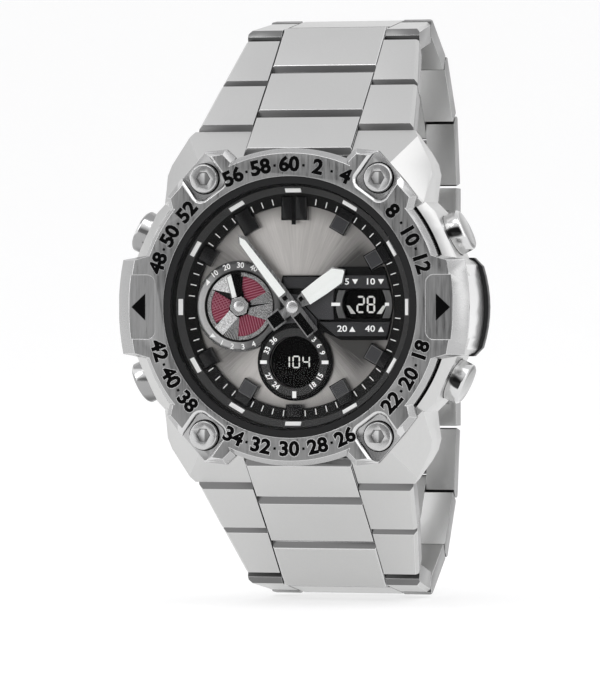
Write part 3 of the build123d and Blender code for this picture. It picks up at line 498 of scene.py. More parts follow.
def welded(node):
    """Copy of a solid's mesh with its triangles welded and its flat faces joined."""
    shape = bmesh.new()
    shape.from_mesh(frame["nodes"][node].data)
    bmesh.ops.remove_doubles(shape, verts=shape.verts, dist=WELD)
    bmesh.ops.dissolve_limit(shape, angle_limit=FLAT, verts=shape.verts, edges=shape.edges)
    return finished_mesh(shape, node + "_dressed")


def round_edges(piece, width):
    """Give a piece narrow rounded edges, their width in millimetres."""
    bevel = piece.modifiers.new("rounded_edges", "BEVEL")
    bevel.width = width * MM
    bevel.segments = 2
    bevel.limit_method = "ANGLE"
    bevel.angle_limit = radians(28)
    return bevel


def soften(node, width, finishes, zone=None, edge_finish=None):
    """Stand-in for a solid with rounded edges; zone picks a finish for each face."""
    mesh = welded(node)
    piece = add_piece(node + "_dressed", mesh, body_of_node[node], slot_of_node[node], *finishes)
    for face in mesh.polygons:
        face.use_smooth = True
        if zone:
            face.material_index = zone(face)
    bevel = round_edges(piece, width)
    bevel.harden_normals = True
    if edge_finish is not None:
        bevel.material = edge_finish
    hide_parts(node)
    return piece


print("nodes known:", len(body_of_node))

# %% [markdown]
# The bezel is one milled plate. Its top is brushed straight up and down, its slopes and its bore are
# satin, and the screw pockets have bright rims and walls of darker steel as painted shade. Each
# screw's socket is darker than its head: its walls carry painted shade, and its floor has painted
# light on one half and painted shade on the other.

# %% Bezel and its screws
SCREW_PLACE = (12.5, 17.9)
SCREW_CENTRES = [(side * SCREW_PLACE[0], level * SCREW_PLACE[1]) for side in (1, -1) for level in (1, -1)]
POCKET_REACH = 3.7
SOCKET_REACH = 1.0
HEAD_BACK = 0.45


def from_screw(face):
    """Across and up, in millimetres, from the nearest screw's middle to a face."""
    return abs(face.center.x) / MM - SCREW_PLACE[0], abs(face.center.z) / MM - SCREW_PLACE[1]


def bezel_zone(face):
    """Finish of a face: 0 brushed top, 1 outer slopes, 3 the pockets' rims, 4 their walls in painted shade.
    """
    facing_front = face.normal.y < -0.97
    near_front = face.center.y < at_depth(0.3)
    if facing_front and near_front:
        return 0
    if hypot(*from_screw(face)) > POCKET_REACH or facing_front:
        return 1
    return 4 if abs(face.normal.y) < 0.3 else 3


bezel_finishes = (bezel_top, bezel_slope, edge_polish, edge_polish, painted_shade_steel)
bezel_piece = soften("bezel", 0.12, bezel_finishes, bezel_zone, 2)


def socket_floor():
    """Floor of a screw's socket with painted light on its left half and painted shade on its right one."""
    recipe = Finish("socket_floor", Metallic=1.0, Roughness=0.3)
    across = recipe.split(recipe.place)["X"]
    screw_across = SCREW_PLACE[0] * MM
    beside = across + screw_across - (across > 0.0) * (2 * screw_across)
    # Painted light on the left half of each socket floor and painted shade on the right half.
    colour = recipe.blend(recipe.smooth_step(beside, -0.0001, 0.0002), grey(0.8), grey(0.22))
    return recipe.feed(Base_Color=colour)


def screw_zone(face):
    """Finish of a screw's face: 0 the head, 1 the socket's floor in painted light and shade, 2 the socket's
    walls in painted shade.
    """
    if hypot(*from_screw(face)) > SOCKET_REACH or face.center.y < at_depth(HEAD_BACK):
        return 0
    return 1 if face.normal.y < -0.9 else 2


screw_piece = soften("bezel_screws", 0.07, (screw_steel, socket_floor(), painted_shade_steel), screw_zone)
print("bezel faces:", len(bezel_piece.data.polygons), "screw faces:", len(screw_piece.data.polygons))

# %% [markdown]
# The shell and the bracelet are satin on the faces that show and brighter on their rounded edges.
# The flanks of the links and the clasp, the links' slanted front edges and all their ends take darker
# copies of the steel as painted shade.

# %% Shell, inner case and bracelet
def link_zone(node):
    """Zones of a link: 0 broad faces, 1 flanks, 3 slanted front edges, 4 ends and seams; flanks, ends and the
    links' front edges take darker steel as painted shade.
    """
    broad = max(frame["nodes"][node].data.polygons, key=lambda face: face.area).normal.copy()
    if abs(broad.x) > 0.5:
        broad = Vector((0, 0, 1))

    def zone(face):
        slant = abs(face.normal.dot(broad))
        if abs(face.normal.x) > 0.9:
            return 1
        if slant < 0.3:
            return 4
        if abs(face.normal.x) > 0.3:
            return 4 if "centre" in node or "end" in node else 0
        return 3 if slant < 0.9 else 0

    return zone


def shell_zone(face):
    """Finish of a face of the shell: 0 its broad faces, 2 the sides at 3 and 9 o'clock."""
    return 2 if abs(face.normal.x) > 0.93 and abs(face.center.z) < 6.4 * MM else 0


soften("case_shell", 0.18, (satin, satin_edge, shell_side), shell_zone, 1)
soften("inner_case", 0.15, (resin,))
link_nodes = ["upper_end_link", "lower_end_link"]
for side in ("upper", "lower"):
    for number in range(1, 7):
        link_nodes += [f"{side}_link_{number}_centre", f"{side}_link_{number}_sides"]
for node in link_nodes:
    soften(node, 0.1, (satin, painted_shade_satin, satin_edge, painted_shade_bevel, painted_shade_end), link_zone(node), 2)
for node in ("clasp_cover", "clasp_outer_blade", "clasp_inner_blade"):
    soften(node, 0.12, (clasp_steel, painted_shade_satin, satin_edge, clasp_steel, painted_shade_end), link_zone(node), 2)
for node in ("clasp_button_left", "clasp_button_right"):
    soften(node, 0.1, (polished,))
barrel = barrel_steel()
for hour in (2, 4, 8, 10):
    soften(f"pusher_{hour}", 0.1, (barrel,))
print("links:", len(link_nodes))

# %% [markdown]
# The solids that are right as they are only need a finish.

# %% Finishes on the solids
def finish_solid(node, material):
    for slot in frame["nodes"][node].material_slots:
        slot.material = material


for node, material in (
    ("crystal_seal", rubber), ("case_back_seal", rubber), ("works", works_plastic),
    ("circuit_board", board_green), ("battery", polished), ("pusher_springs", painted_shade_satin),
    ("lug_spring_bars", painted_shade_satin),
):
    finish_solid(node, material)

# %% [markdown]
# Printed and raised marks are thin shapes seen from the front, so most of them start as an outline
# on the dial and become a shallow prism. Outlines are lists of points in millimetres, across and up.

# %% Prisms from outlines
def moved(points, centre):
    """Points shifted from the dial's middle to another centre."""
    return [(centre[0] + across, centre[1] + up) for across, up in points]


def arc_points(radius, start, end, steps=16, centre=DIAL_CENTRE):
    """Points on an arc between two clockwise angles from 12 o'clock."""
    angles = [start + (end - start) * step / steps for step in range(steps + 1)]
    return moved([round_the_dial(angle, radius) for angle in angles], centre)


def sector(inner, outer, start, end, steps=16, centre=DIAL_CENTRE):
    """Outline of a piece of a ring."""
    return arc_points(outer, start, end, steps, centre) + arc_points(inner, end, start, steps, centre)


def turned_points(points, angle, centre=DIAL_CENTRE):
    """Points turned clockwise about the dial's middle, then moved to a centre."""
    right, down = round_the_dial(angle + 90, 1.0)
    return moved([(across * right - up * down, up * right + across * down) for across, up in points], centre)


def hexagon(radius, first_angle, centre):
    """Corners of a hexagon, clockwise from the angle of the first."""
    return [moved([round_the_dial(first_angle + 60 * corner, radius)], centre)[0] for corner in range(6)]


def box_points(left, low, right, high):
    return [(left, low), (left, high), (right, high), (right, low)]


def prisms(name, outlines, near, far):
    """Mesh of one shallow prism for each outline, between two depths in millimetres."""
    shape = bmesh.new()
    for points in outlines:
        front_loop = [shape.verts.new(on_dial(across, up, near)) for across, up in points]
        back_loop = [shape.verts.new(on_dial(across, up, far)) for across, up in points]
        shape.faces.new(front_loop)
        shape.faces.new(list(reversed(back_loop)))
        for index in range(len(points)):
            after = (index + 1) % len(points)
            shape.faces.new((front_loop[index], back_loop[index], back_loop[after], front_loop[after]))
    return finished_mesh(shape, name, outwards=True)


def raised(name, outlines, near, far, finish, slot, body="head", edge=0.0):
    """Piece of shallow prisms, with a small rounded edge if one is asked for."""
    piece = add_piece(name, prisms(name, outlines, near, far), body, slot, finish)
    if edge:
        round_edges(piece, edge)


print("outline helpers ready")

# %% [markdown]
# Minute ticks and index bars are one small block repeated round a circle. A Geometry Nodes tree
# makes them all: points are placed by their index, every so many can be skipped, and each block
# leans with the slope it lies on. The inputs are named and in metres and radians.

# %% Marks round a circle
def marks_tree():
    """Tree that sets blocks round a circle in the dial's plane."""
    tree = bpy.data.node_groups.new("marks_round_a_circle", "GeometryNodeTree")
    sockets = tree.interface
    sockets.new_socket("Geometry", in_out="OUTPUT", socket_type="NodeSocketGeometry")
    for name, kind in (
        ("Count", "NodeSocketInt"), ("Radius", "NodeSocketFloat"), ("Skip Every", "NodeSocketInt"),
        ("First", "NodeSocketFloat"), ("Spread", "NodeSocketFloat"), ("Lean", "NodeSocketFloat"),
        ("Block", "NodeSocketVector"), ("Centre", "NodeSocketVector"), ("Finish", "NodeSocketMaterial"),
    ):
        sockets.new_socket(name, in_out="INPUT", socket_type=kind)
    recipe = Recipe(tree)
    given = recipe.node("NodeGroupInput")
    index = recipe.node("GeometryNodeInputIndex")["Index"]
    angle = given["First"] + index * given["Spread"] / recipe.math("MAXIMUM", given["Count"], 1.0)
    radius, centre, finish = given["Radius"], given["Centre"], given["Finish"]
    along = recipe.combine(recipe.math("SINE", angle) * radius, 0.0, recipe.math("COSINE", angle) * radius)
    place = recipe.node("ShaderNodeVectorMath", {"operation": "ADD"}, {0: along, 1: centre})["Vector"]
    points = recipe.node("GeometryNodePoints", None, {"Count": given["Count"], "Position": place})["Points"]
    rest = recipe.math("MODULO", index, recipe.math("MAXIMUM", given["Skip Every"], 1.0))
    skipped = (rest < 0.5) * (given["Skip Every"] > 0.5)
    chosen = {"Geometry": points, "Selection": skipped}
    kept = recipe.node("GeometryNodeDeleteGeometry", None, chosen)["Geometry"]
    block = recipe.node("GeometryNodeMeshCube", None, {"Size": given["Block"]})["Mesh"]
    kept_place = recipe.node("GeometryNodeInputPosition")["Position"]
    local = recipe.node("ShaderNodeVectorMath", {"operation": "SUBTRACT"}, {0: kept_place, 1: centre})
    parts = recipe.split(local["Vector"])
    facing = recipe.combine(given["Lean"], recipe.math("ARCTAN2", parts["X"], parts["Z"]), 0.0)
    laid = {"Points": kept, "Instance": block, "Rotation": facing}
    spread = recipe.node("GeometryNodeInstanceOnPoints", None, laid)["Instances"]
    solid = recipe.node("GeometryNodeRealizeInstances", None, {"Geometry": spread})["Geometry"]
    painted = {"Geometry": solid, "Material": finish}
    finished = recipe.node("GeometryNodeSetMaterial", None, painted)["Geometry"]
    output = tree.nodes.new("NodeGroupOutput")
    tree.links.new(finished.socket, output.inputs["Geometry"])
    return tree


MARKS = marks_tree()


def ring_marks(name, body, slot, finish, **sizes):
    """Plain mesh of blocks round a circle; sizes are the tree's inputs."""
    maker = placed(name + "_maker", bpy.data.meshes.new(name + "_maker"))
    modifier = maker.modifiers.new("marks", "NODES")
    modifier.node_group = MARKS
    wanted = {"Skip Every": 0, "First": 0.0, "Spread": tau, "Lean": 0.0, "Finish": finish}
    wanted.update({key.replace("_", " "): value for key, value in sizes.items()})
    for item in MARKS.interface.items_tree:
        if item.in_out == "INPUT":
            modifier[item.identifier] = wanted[item.name]
    mesh = baked(maker)
    mesh.name = name
    add_piece(name, mesh, body, slot)
    print(name, len(mesh.polygons), "faces")


# %% [markdown]
# Numerals are text objects made into meshes. One function lists numerals at clockwise angles on a
# circle, turned the right way up below its middle, and another writes them as one piece.

# %% Numerals
def text_mesh(characters, height, thickness, weight=0.0):
    """Mesh of upright characters centred on the origin, facing +Z, in metres."""
    curve = bpy.data.curves.new("numerals", "FONT")
    curve.body = characters
    curve.size = height * MM / 0.7
    curve.extrude = thickness * MM / 2
    curve.offset = weight * MM
    curve.align_x = "CENTER"
    curve.align_y = "CENTER"
    curve.resolution_u = 3
    mesh = baked(placed("numerals", curve))
    bpy.data.curves.remove(curve)
    return mesh


def joined(name, meshes):
    """One mesh from several."""
    shape = bmesh.new()
    for mesh in meshes:
        shape.from_mesh(mesh)
        bpy.data.meshes.remove(mesh)
    return finished_mesh(shape, name)


def written(name, entries, depth, finish, slot, body="head", thickness=0.03, weight=0.0, width=1.0):
    """Characters on the dial: entries are characters, height, across, up and clockwise turn."""
    meshes = []
    for characters, height, across, up, turn in entries:
        mesh = text_mesh(characters, height, thickness, weight)
        mesh.transform(
            Matrix.Translation(on_dial(across, up, depth)) @ Matrix.Rotation(radians(turn), 4, "Y")
            @ Matrix.Rotation(pi / 2, 4, "X") @ Matrix.Diagonal((width, 1, 1, 1))
        )
        meshes.append(mesh)
    add_piece(name, joined(name, meshes), body, slot, finish)


def round_entries(numbers, height, radius, centre=DIAL_CENTRE):
    """Entries for numbers at clockwise angles on a circle."""
    entries = []
    for characters, angle in numbers:
        across, up = round_the_dial(angle, radius)
        flipped = cos(radians(angle)) < -0.05
        turn = angle + 180 if flipped else angle
        entries.append((characters, height, centre[0] + across, centre[1] + up, turn))
    return entries


print("text helper ready")

# %% [markdown]
# The bezel carries a minute scale of bold numerals, cut into the steel and filled with black. Each
# has a thin bright rim, where the cutter left a burnished edge. Dots stand between them and arrows
# point outwards at 3 and 9. Thin black plates are painted shade in the seams between bezel and shell
# and in the screws' pockets, and thin grey rings are painted shadow lines round the screws' sockets.

# %% Bezel numerals and arrows
NUMERAL_STEP = 12
NUMERAL_RADIUS = 19.78
NUMERAL_HEIGHT = 1.95
SCREW_AND_ARROW_ANGLES = (36, 84, 96, 144, 216, 264, 276, 324)
DOT_ANGLES = (-18, -6, 6, 18, 54, 66, 114, 126, 162, 174, 186, 198, 234, 246, 294, 306)
bezel_numbers = [
    (str(round(angle / 6) % 60 or 60), angle)
    for angle in range(0, 360, NUMERAL_STEP)
    if angle not in SCREW_AND_ARROW_ANGLES
]
entries = round_entries(bezel_numbers, NUMERAL_HEIGHT, NUMERAL_RADIUS)
written("bezel_numeral_rims", entries, 0.0, edge_polish, "polished_steel",
        thickness=0.02, weight=0.2, width=1.05)
written("bezel_numerals", entries, 0.0, ink, "black_resin", thickness=0.04, weight=0.12, width=1.05)
dots = [sector(19.6, 19.95, angle - 0.5, angle + 0.5, 2) for angle in DOT_ANGLES]
raised("bezel_dots", dots, -0.02, 0.1, ink, "black_resin")

ARROW_DEPTH = 0.22
arrow = [(20.85, -1.88), (20.85, 1.88), (22.85, 0.0)]
arrow_pair = [arrow, [(-across, up) for across, up in arrow]]
raised("bezel_arrows", arrow_pair, ARROW_DEPTH - 0.06, ARROW_DEPTH + 0.1, ink, "black_resin", edge=0.03)
# Painted shade: thin black plates in the gaps between the bezel and the shell.
seams = [sector(22.1, 22.42, start, start + 34, 12) for start in (40, 106, 220, 286)]
raised("bezel_seam_shades", seams, 2.26, 2.4, ink, "black_resin")
screw_discs = [arc_points(2.2, 0, 350, 35, centre) for centre in SCREW_CENTRES]
raised("screw_shadows", screw_discs, 1.27, 1.4, ink, "black_resin")
# Painted shadow lines: thin grey hexagonal rings round the mouths of the screws' sockets.
socket_shadow_sides = []
for centre in SCREW_CENTRES:
    inner = hexagon(0.93, 30, centre)
    outer = hexagon(1.05, 30, centre)
    for corner in range(6):
        after = (corner + 1) % 6
        socket_shadow_sides.append([inner[corner], outer[corner], outer[after], inner[after]])
raised("socket_shadow_lines", socket_shadow_sides, 0.335, 0.4, painted_shade_steel, "black_resin")
print("bezel numerals:", len(entries))

# %% [markdown]
# The dial is lacquered metal with a sunray brush: fine scratches that all run to the centre. Their
# noise depends on the angle round the dial and hardly on the radius, so it reads the cosine and
# sine of that angle rather than the angle itself, which would leave a seam. Its colour also carries a
# painted sheen: bright above and below the centre, with painted shade to the right.

# %% Sunray dial
def sunray(name, tone, reach):
    """Lacquered metal brushed outwards, with a painted sheen above and below the centre, painted shade to the
    right, and darker at its reach.
    """
    recipe = Finish(name, Metallic=0.85, Coat_Weight=0.35, Coat_Roughness=0.08)
    radius, side, top = recipe.polar()
    fine = recipe.combine(side * 60.0, radius * 250.0, top * 60.0)
    broad = recipe.combine(side * 14.0, radius * 60.0, top * 14.0)
    streak = recipe.noise(fine, 1.0, 3.0) * 0.6 + recipe.noise(broad, 1.0, 2.0) * 0.4
    # Painted sheen and shade: brighter above and below the centre, darker to the right.
    upright = recipe.smooth_step(recipe.math("ABSOLUTE", top), 0.5, 0.95)
    shade = (streak - 0.5) * 0.5 + upright * 0.63 - side * 0.2 + 0.03
    colour = recipe.blend(shade, scaled(tone, 0.08), scaled(tone, 1.0))
    fade = recipe.smooth_step(radius, reach * 0.8, reach)
    deep = recipe.blend(fade, colour, scaled(tone, 0.35))
    return recipe.feed(Base_Color=deep, Roughness=(streak - 0.5) * 0.12 + 0.33,
                       Normal=recipe.bumped(streak, 0.000004, 0.5))


finish_solid("dial_plate", sunray("sunray_dial", (0.86, 0.83, 0.8), 0.0145))

# %% [markdown]
# Round the dial runs a moulded ring with three bands: a gloss rim, a grained slope and the black
# minute track. One finish serves all three, because each band is only a range of radius.

# %% Dial ring
GLOSS_FROM = 0.0168
TRACK_TO = 0.01588


def ring_finish():
    recipe = Finish("dial_ring_bands", Specular_IOR_Level=0.08)
    radius, _, _ = recipe.polar()
    grain = recipe.noise(recipe.place, 9000.0, 2.0)
    on_gloss = radius > GLOSS_FROM
    on_track = radius < TRACK_TO
    slope = recipe.blend(grain, grey(0.02), grey(0.085))
    dark = recipe.blend(on_track, slope, grey(0.006))
    colour = recipe.blend(on_gloss, dark, grey(0.003))
    roughness = 0.55 - on_gloss * 0.4 - on_track * 0.15
    return recipe.feed(Base_Color=colour, Roughness=roughness, Normal=recipe.bumped(grain, 0.00001, 0.5))


soften("dial_ring", 0.05, (ring_finish(),))
ring_slope = atan2(1.3, 1.55)
track_slope = atan2(0.4, 1.7)
ring_marks(
    "index_bars", "head", "white_hand", white_paint, Count=12, Radius=16.3 * MM, Lean=ring_slope,
    Block=(2.25 * MM, 0.2 * MM, 0.68 * MM), Centre=on_dial(0, 0, 2.3),
)
ring_marks(
    "minute_ticks", "head", "white_hand", white_paint, Count=60, Radius=14.9 * MM, Lean=track_slope,
    Skip_Every=5, Block=(0.12 * MM, 0.06 * MM, 0.85 * MM), Centre=on_dial(0, 0, 2.97),
)

# %% [markdown]
# The hour blocks are polished black resin. On the real dial several of them are smoked and clear
# towards the centre; a thin grey plate on the inner part gives that look, and a slightly wider pale
# plate behind it paints a highlight round its edges. The block at 12 has a dull slot along its middle.

# %% Hour blocks
soften("hour_markers", 0.14, (black_gloss,))
smoked = moulded("smoked_resin", (0.045, 0.045, 0.048), 0.12, depth=0.000001, coat=0.2)
painted_glint_edge = moulded("painted_glint_edge", (0.13, 0.13, 0.133), 0.3, spread=0.05)
MARKER_TOP = front_depth("hour_markers")
SMOKED_HOURS = (1, 2, 4, 5, 7)
print("hour blocks stand at depth", round(MARKER_TOP, 2))
# The rims are a painted highlight round the edges of the smoked plates.
for name, outline, finish, lift in (
    ("smoked_rim_glints", box_points(-1.03, 12.27, 1.03, 14.18), painted_glint_edge, 0.02),
    ("smoked_plates", box_points(-0.95, 12.35, 0.95, 14.1), smoked, 0.04),
):
    plates = [turned_points(outline, 30 * hour) for hour in SMOKED_HOURS]
    raised(name, plates, MARKER_TOP - lift, MARKER_TOP + 0.1, finish, "black_marker")
twelve_slot = [box_points(-0.3, 11.5, 0.3, 15.3)]
raised("twelve_slot", twelve_slot, MARKER_TOP - 0.015, MARKER_TOP + 0.1, black_satin, "black_marker")

# %% [markdown]
# The small dial is a turned cup with a wheel in it: two bright grainy spokes and a shaded one on a
# shaded rim, deep red ribbed fields between them, and a hexagon nut in the middle. The ribs are real
# ridges, laid across each field and cut off at its outline, so they catch light from the side.

# %% Small dial
SMALL_CENTRE = (-8.0, 0.1)


def cup_finish():
    """Turned grey metal with painted light on its left side, a painted highlight on its outer bevel and a
    dark groove inside.
    """
    recipe = Finish("small_dial_cup", Metallic=0.8)
    radius, side, top = recipe.polar(SMALL_CENTRE)
    rings = recipe.math("SINE", radius * 45000.0) * 0.5 + 0.5
    grain = recipe.noise(recipe.place, 7000.0, 2.0)
    # Painted light: the band is lighter towards the left, and the outer bevel gets a painted highlight that
    # is strongest there.
    painted_lit_side = recipe.smooth_step(side * -0.8 - top * 0.35, 0.0, 0.7)
    band = recipe.blend(painted_lit_side, grey(0.12), grey(0.62))
    grain_over_painted_light = recipe.blend((rings * 0.3 + grain * 0.7) * 0.5, band, grey(0.14))
    groove = radius < 0.00503
    colour = recipe.blend(groove, grain_over_painted_light, grey(0.012))
    bevel = radius > 0.00605
    bright = recipe.blend(bevel * (painted_lit_side * 0.7 + 0.3), colour, grey(0.8))
    return recipe.feed(Base_Color=bright, Roughness=0.46 - bevel * 0.2 + groove * 0.05)


soften("small_dial", 0.06, (cup_finish(),))
ridge_red = moulded("ribbed_red", (0.2, 0.017, 0.042), 0.3, grain=4000.0, depth=0.000004, spread=0.35)
ridge_light = moulded("rib_tops", (0.4, 0.13, 0.18), 0.28, grain=9000.0, depth=0.000002, spread=0.3)


def grained_silver(name, dark, light):
    """Blasted silver lacquer with coarse bright grains."""
    recipe = Finish(name, Metallic=0.6)
    grain = recipe.noise(recipe.place, 11000.0, 2.0)
    colour = recipe.blend(recipe.smooth_step(grain, 0.35, 0.65), grey(dark), grey(light))
    return recipe.feed(Base_Color=colour, Roughness=(grain - 0.5) * 0.2 + 0.45,
                       Normal=recipe.bumped(grain, 0.00002, 0.6))


silver_grain = grained_silver("grained_silver", 0.35, 0.95)
shaded_grain = grained_silver("shaded_grain", 0.06, 0.5)
WHEEL_OUT = 4.75
WHEEL_IN = 4.2
FLOOR_DEPTH = 3.75
SHORTEST_RIB = 0.25
RIB_STEP = 0.04


def ribs_in_sector(inner, outer, start, end, lean, pitch, width):
    """Outlines of parallel ribs across a sector, each clipped to the sector by stepping along it."""
    ribs = []
    direction = (sin(radians(lean)), cos(radians(lean)))
    normal = (direction[1], -direction[0])
    offset = -outer
    while offset < outer:
        inside = []
        step = -outer
        while step < outer:
            across = normal[0] * offset + direction[0] * step
            up = normal[1] * offset + direction[1] * step
            angle = degrees(atan2(across, up)) % 360
            if inner < hypot(across, up) < outer and start < angle < end:
                inside.append(step)
            step += RIB_STEP
        if inside and inside[-1] - inside[0] > SHORTEST_RIB:
            corners = box_points(inside[0], offset - width, inside[-1], offset + width)
            ribs.append(moved([
                (normal[0] * shift + direction[0] * place, normal[1] * shift + direction[1] * place)
                for place, shift in corners
            ], SMALL_CENTRE))
        offset += pitch
    return ribs


RED_FIELDS = ((6, 62, 75), (112, 184, 166), (236, 300, 68))
fields = [sector(0.9, 4.3, start, end, 12, SMALL_CENTRE) for start, end, _ in RED_FIELDS]
raised("red_fields", fields, FLOOR_DEPTH - 0.06, FLOOR_DEPTH + 0.1, ridge_red, "small_dial_metal")
ribs = []
for start, end, lean in RED_FIELDS:
    ribs += ribs_in_sector(1.1, 4.15, start, end, lean, 0.36, 0.06)
ribs += ribs_in_sector(1.1, 4.15, 262, 300, 148, 0.42, 0.07)
raised("red_ribs", ribs, FLOOR_DEPTH - 0.12, FLOOR_DEPTH, ridge_light, "small_dial_metal")
dark_ridges = []
for start, end in ((62, 84), (184, 210)):
    for step in range(9):
        angle = start + (end - start) * (step + 0.5) / 9
        dark_ridges.append(sector(1.6, WHEEL_OUT, angle - 0.4, angle + 0.4, 2, SMALL_CENTRE))
raised("wheel_ridges", dark_ridges, FLOOR_DEPTH - 0.16, FLOOR_DEPTH, silver_grain, "small_dial_metal")

RIM_ARCS = ((2, 62), (118, 183), (232, 300))
rim_arcs = [sector(WHEEL_IN, WHEEL_OUT, start, end, 16, SMALL_CENTRE) for start, end in RIM_ARCS]
flag = moved(arc_points(WHEEL_OUT, 300, 343, 8) + [(-0.35, 1.2), (-1.05, 1.75)], SMALL_CENTRE)
low_spoke = turned_points([(-0.85, 0.5), (-0.85, 4.67), (0.75, 4.69), (0.75, 0.5)], 222, SMALL_CENTRE)
right_spoke = moved([(0.9, -0.3)] + arc_points(WHEEL_OUT, 84, 116, 8) + [(0.7, -1.0)], SMALL_CENTRE)
for name, outlines, finish in (
    ("wheel_spokes", [flag, low_spoke], silver_grain), ("wheel_rim", rim_arcs + [right_spoke], shaded_grain),
):
    raised(name, outlines, FLOOR_DEPTH - 0.22, FLOOR_DEPTH, finish, "small_dial_metal", edge=0.04)
nut = hexagon(1.42, 12, SMALL_CENTRE)
raised("small_nut", [nut], 3.0, 3.3, nut_steel, "small_dial_metal", body="small_hand", edge=0.08)
nut_edge = hexagon(1.6, 12, SMALL_CENTRE)
raised("nut_shadow", [nut_edge], 3.22, 3.3, ink, "small_dial_metal", body="small_hand")
small_numbers = (
    ("10", -38), ("20", -18), ("30", 2), ("40", 22), ("1", 206), ("2", 190), ("3", 174), ("4", 158),
)
small_entries = round_entries(small_numbers, 0.76, 5.72, SMALL_CENTRE)
written("small_dial_numbers", small_entries, 2.98, white_paint, "white_hand", weight=0.015)
pointer = [(-0.42, 5.45), (0.3, 6.1), (0.3, 5.35)]
pointers = [turned_points(pointer, angle, SMALL_CENTRE) for angle in (306, 222)]
raised("small_dial_pointers", pointers, 2.96, 3.05, white_paint, "white_hand")
print("small dial:", len(ribs), "ribs")

# %% [markdown]
# The bridge over the digital windows is a stack of shallow plates with a strip above and below the
# right window, curved side frames, and a ring round the lower window. Small white numbers,
# triangles and marks are printed on them.

# %% Bridge and window frames
RIGHT_CENTRE = (10.0, 0.4)
LOW_CENTRE = (0.0, -7.7)
bridge_grey = moulded("bridge_grey", (0.026, 0.026, 0.028), 0.34, grain=9000.0, depth=0.000004, spread=0.2)
plate_grey = moulded("plate_grey", (0.045, 0.045, 0.048), 0.34, grain=5000.0, depth=0.000006, spread=0.25)
frame_grey = brushed_steel("frame_grey", grey(0.13), 2, roughness=0.4, contrast=0.8)
soften("window_frame", 0.08, (black_satin,))
FRAME_TOP = front_depth("window_frame")
TRACK_EDGE = 13.85


def end_at_track(up):
    """Where a strip ends at a height, on the circle inside the minute track."""
    return sqrt(TRACK_EDGE ** 2 - up ** 2), up


upper_strip = [(-1.55, 2.6), (-1.55, 4.15), (5.2, 4.15), (5.45, 4.4), end_at_track(4.4), end_at_track(2.6)]
lower_strip = [(3.6, -2.1), end_at_track(-2.1), end_at_track(-4.05), (6.0, -4.05)]
side_plate = [(1.9, 2.35), (5.7, 2.35), (5.55, 0.4), (5.7, -1.75), (3.5, -1.75), (1.6, 0.2)]
hub_plate = arc_points(5.5, -24, 36, 12, LOW_CENTRE) + [(3.2, -1.75), (1.4, 0.15), (1.5, 1.6), (-1.6, 1.9)]
hub_plate += arc_points(6.55, 78, 116, 8, SMALL_CENTRE)


def window_side(sign):
    """Curved frame beside the right window: up along its inner edge and down along its outer one."""
    low, high = -1.55, 2.35
    shares = [step / 8 for step in range(9)]
    edges = ((2.6, 0.55, shares), (3.65, 0.4, shares[::-1]))
    return [
        (RIGHT_CENTRE[0] + sign * (reach + bulge * sin(pi * share)), low + (high - low) * share)
        for reach, bulge, order in edges for share in order
    ]


for name, outlines, lift, finish, edge in (
    ("window_strips", [upper_strip, lower_strip], 0.14, bridge_grey, 0.08),
    ("window_side_plate", [side_plate, hub_plate], 0.08, plate_grey, 0.06),
    ("window_sides", [window_side(-1), window_side(1)], 0.06, frame_grey, 0.06),
):
    raised(name, outlines, FRAME_TOP - lift, FRAME_TOP + 0.3, finish, "black_frame", edge=edge)
window_marks = [
    box_points(5.35, 0.15, 6.6, 0.6), box_points(13.0, 0.15, 13.6, 0.6),
    box_points(-0.28, -12.7, 0.28, -11.75),
    box_points(-4.9, -7.95, -3.95, -7.45), box_points(3.95, -7.95, 4.9, -7.45),
]
raised("window_marks", window_marks, FRAME_TOP - 0.12, FRAME_TOP, white_paint, "white_hand")


def grooved_ring():
    """Dark turned ring with fine radial grooves."""
    recipe = Finish("grooved_ring", Metallic=0.4)
    _, side, top = recipe.polar(LOW_CENTRE)
    turn = recipe.math("ARCTAN2", side, top)
    wave = recipe.math("SINE", turn * 150.0) * 0.5 + 0.5
    colour = recipe.blend(wave, grey(0.01), grey(0.055))
    return recipe.feed(Base_Color=colour, Roughness=wave * 0.1 + 0.38,
                       Normal=recipe.bumped(wave, 0.00003, 0.5))


def circle_loop(shape, radius, depth, centre, steps=48):
    """Vertices on a circle in the dial's plane."""
    points = arc_points(radius, 0, 360, steps, centre)[:-1]
    return [shape.verts.new(on_dial(across, up, depth)) for across, up in points]


def bridge_loops(shape, first, second):
    """Faces between two loops with as many vertices each."""
    for index in range(len(first)):
        after = (index + 1) % len(first)
        shape.faces.new((first[index], first[after], second[after], second[index]))


def flat_ring(name, outer, inner, near, far, centre):
    """Mesh of a flat ring between two radii and two depths."""
    shape = bmesh.new()
    corners = ((outer, near), (inner, near), (inner, far), (outer, far))
    loops = [circle_loop(shape, radius, depth, centre) for radius, depth in corners]
    for first, second in zip(loops, loops[1:] + loops[:1]):
        bridge_loops(shape, first, second)
    return finished_mesh(shape, name, outwards=True)


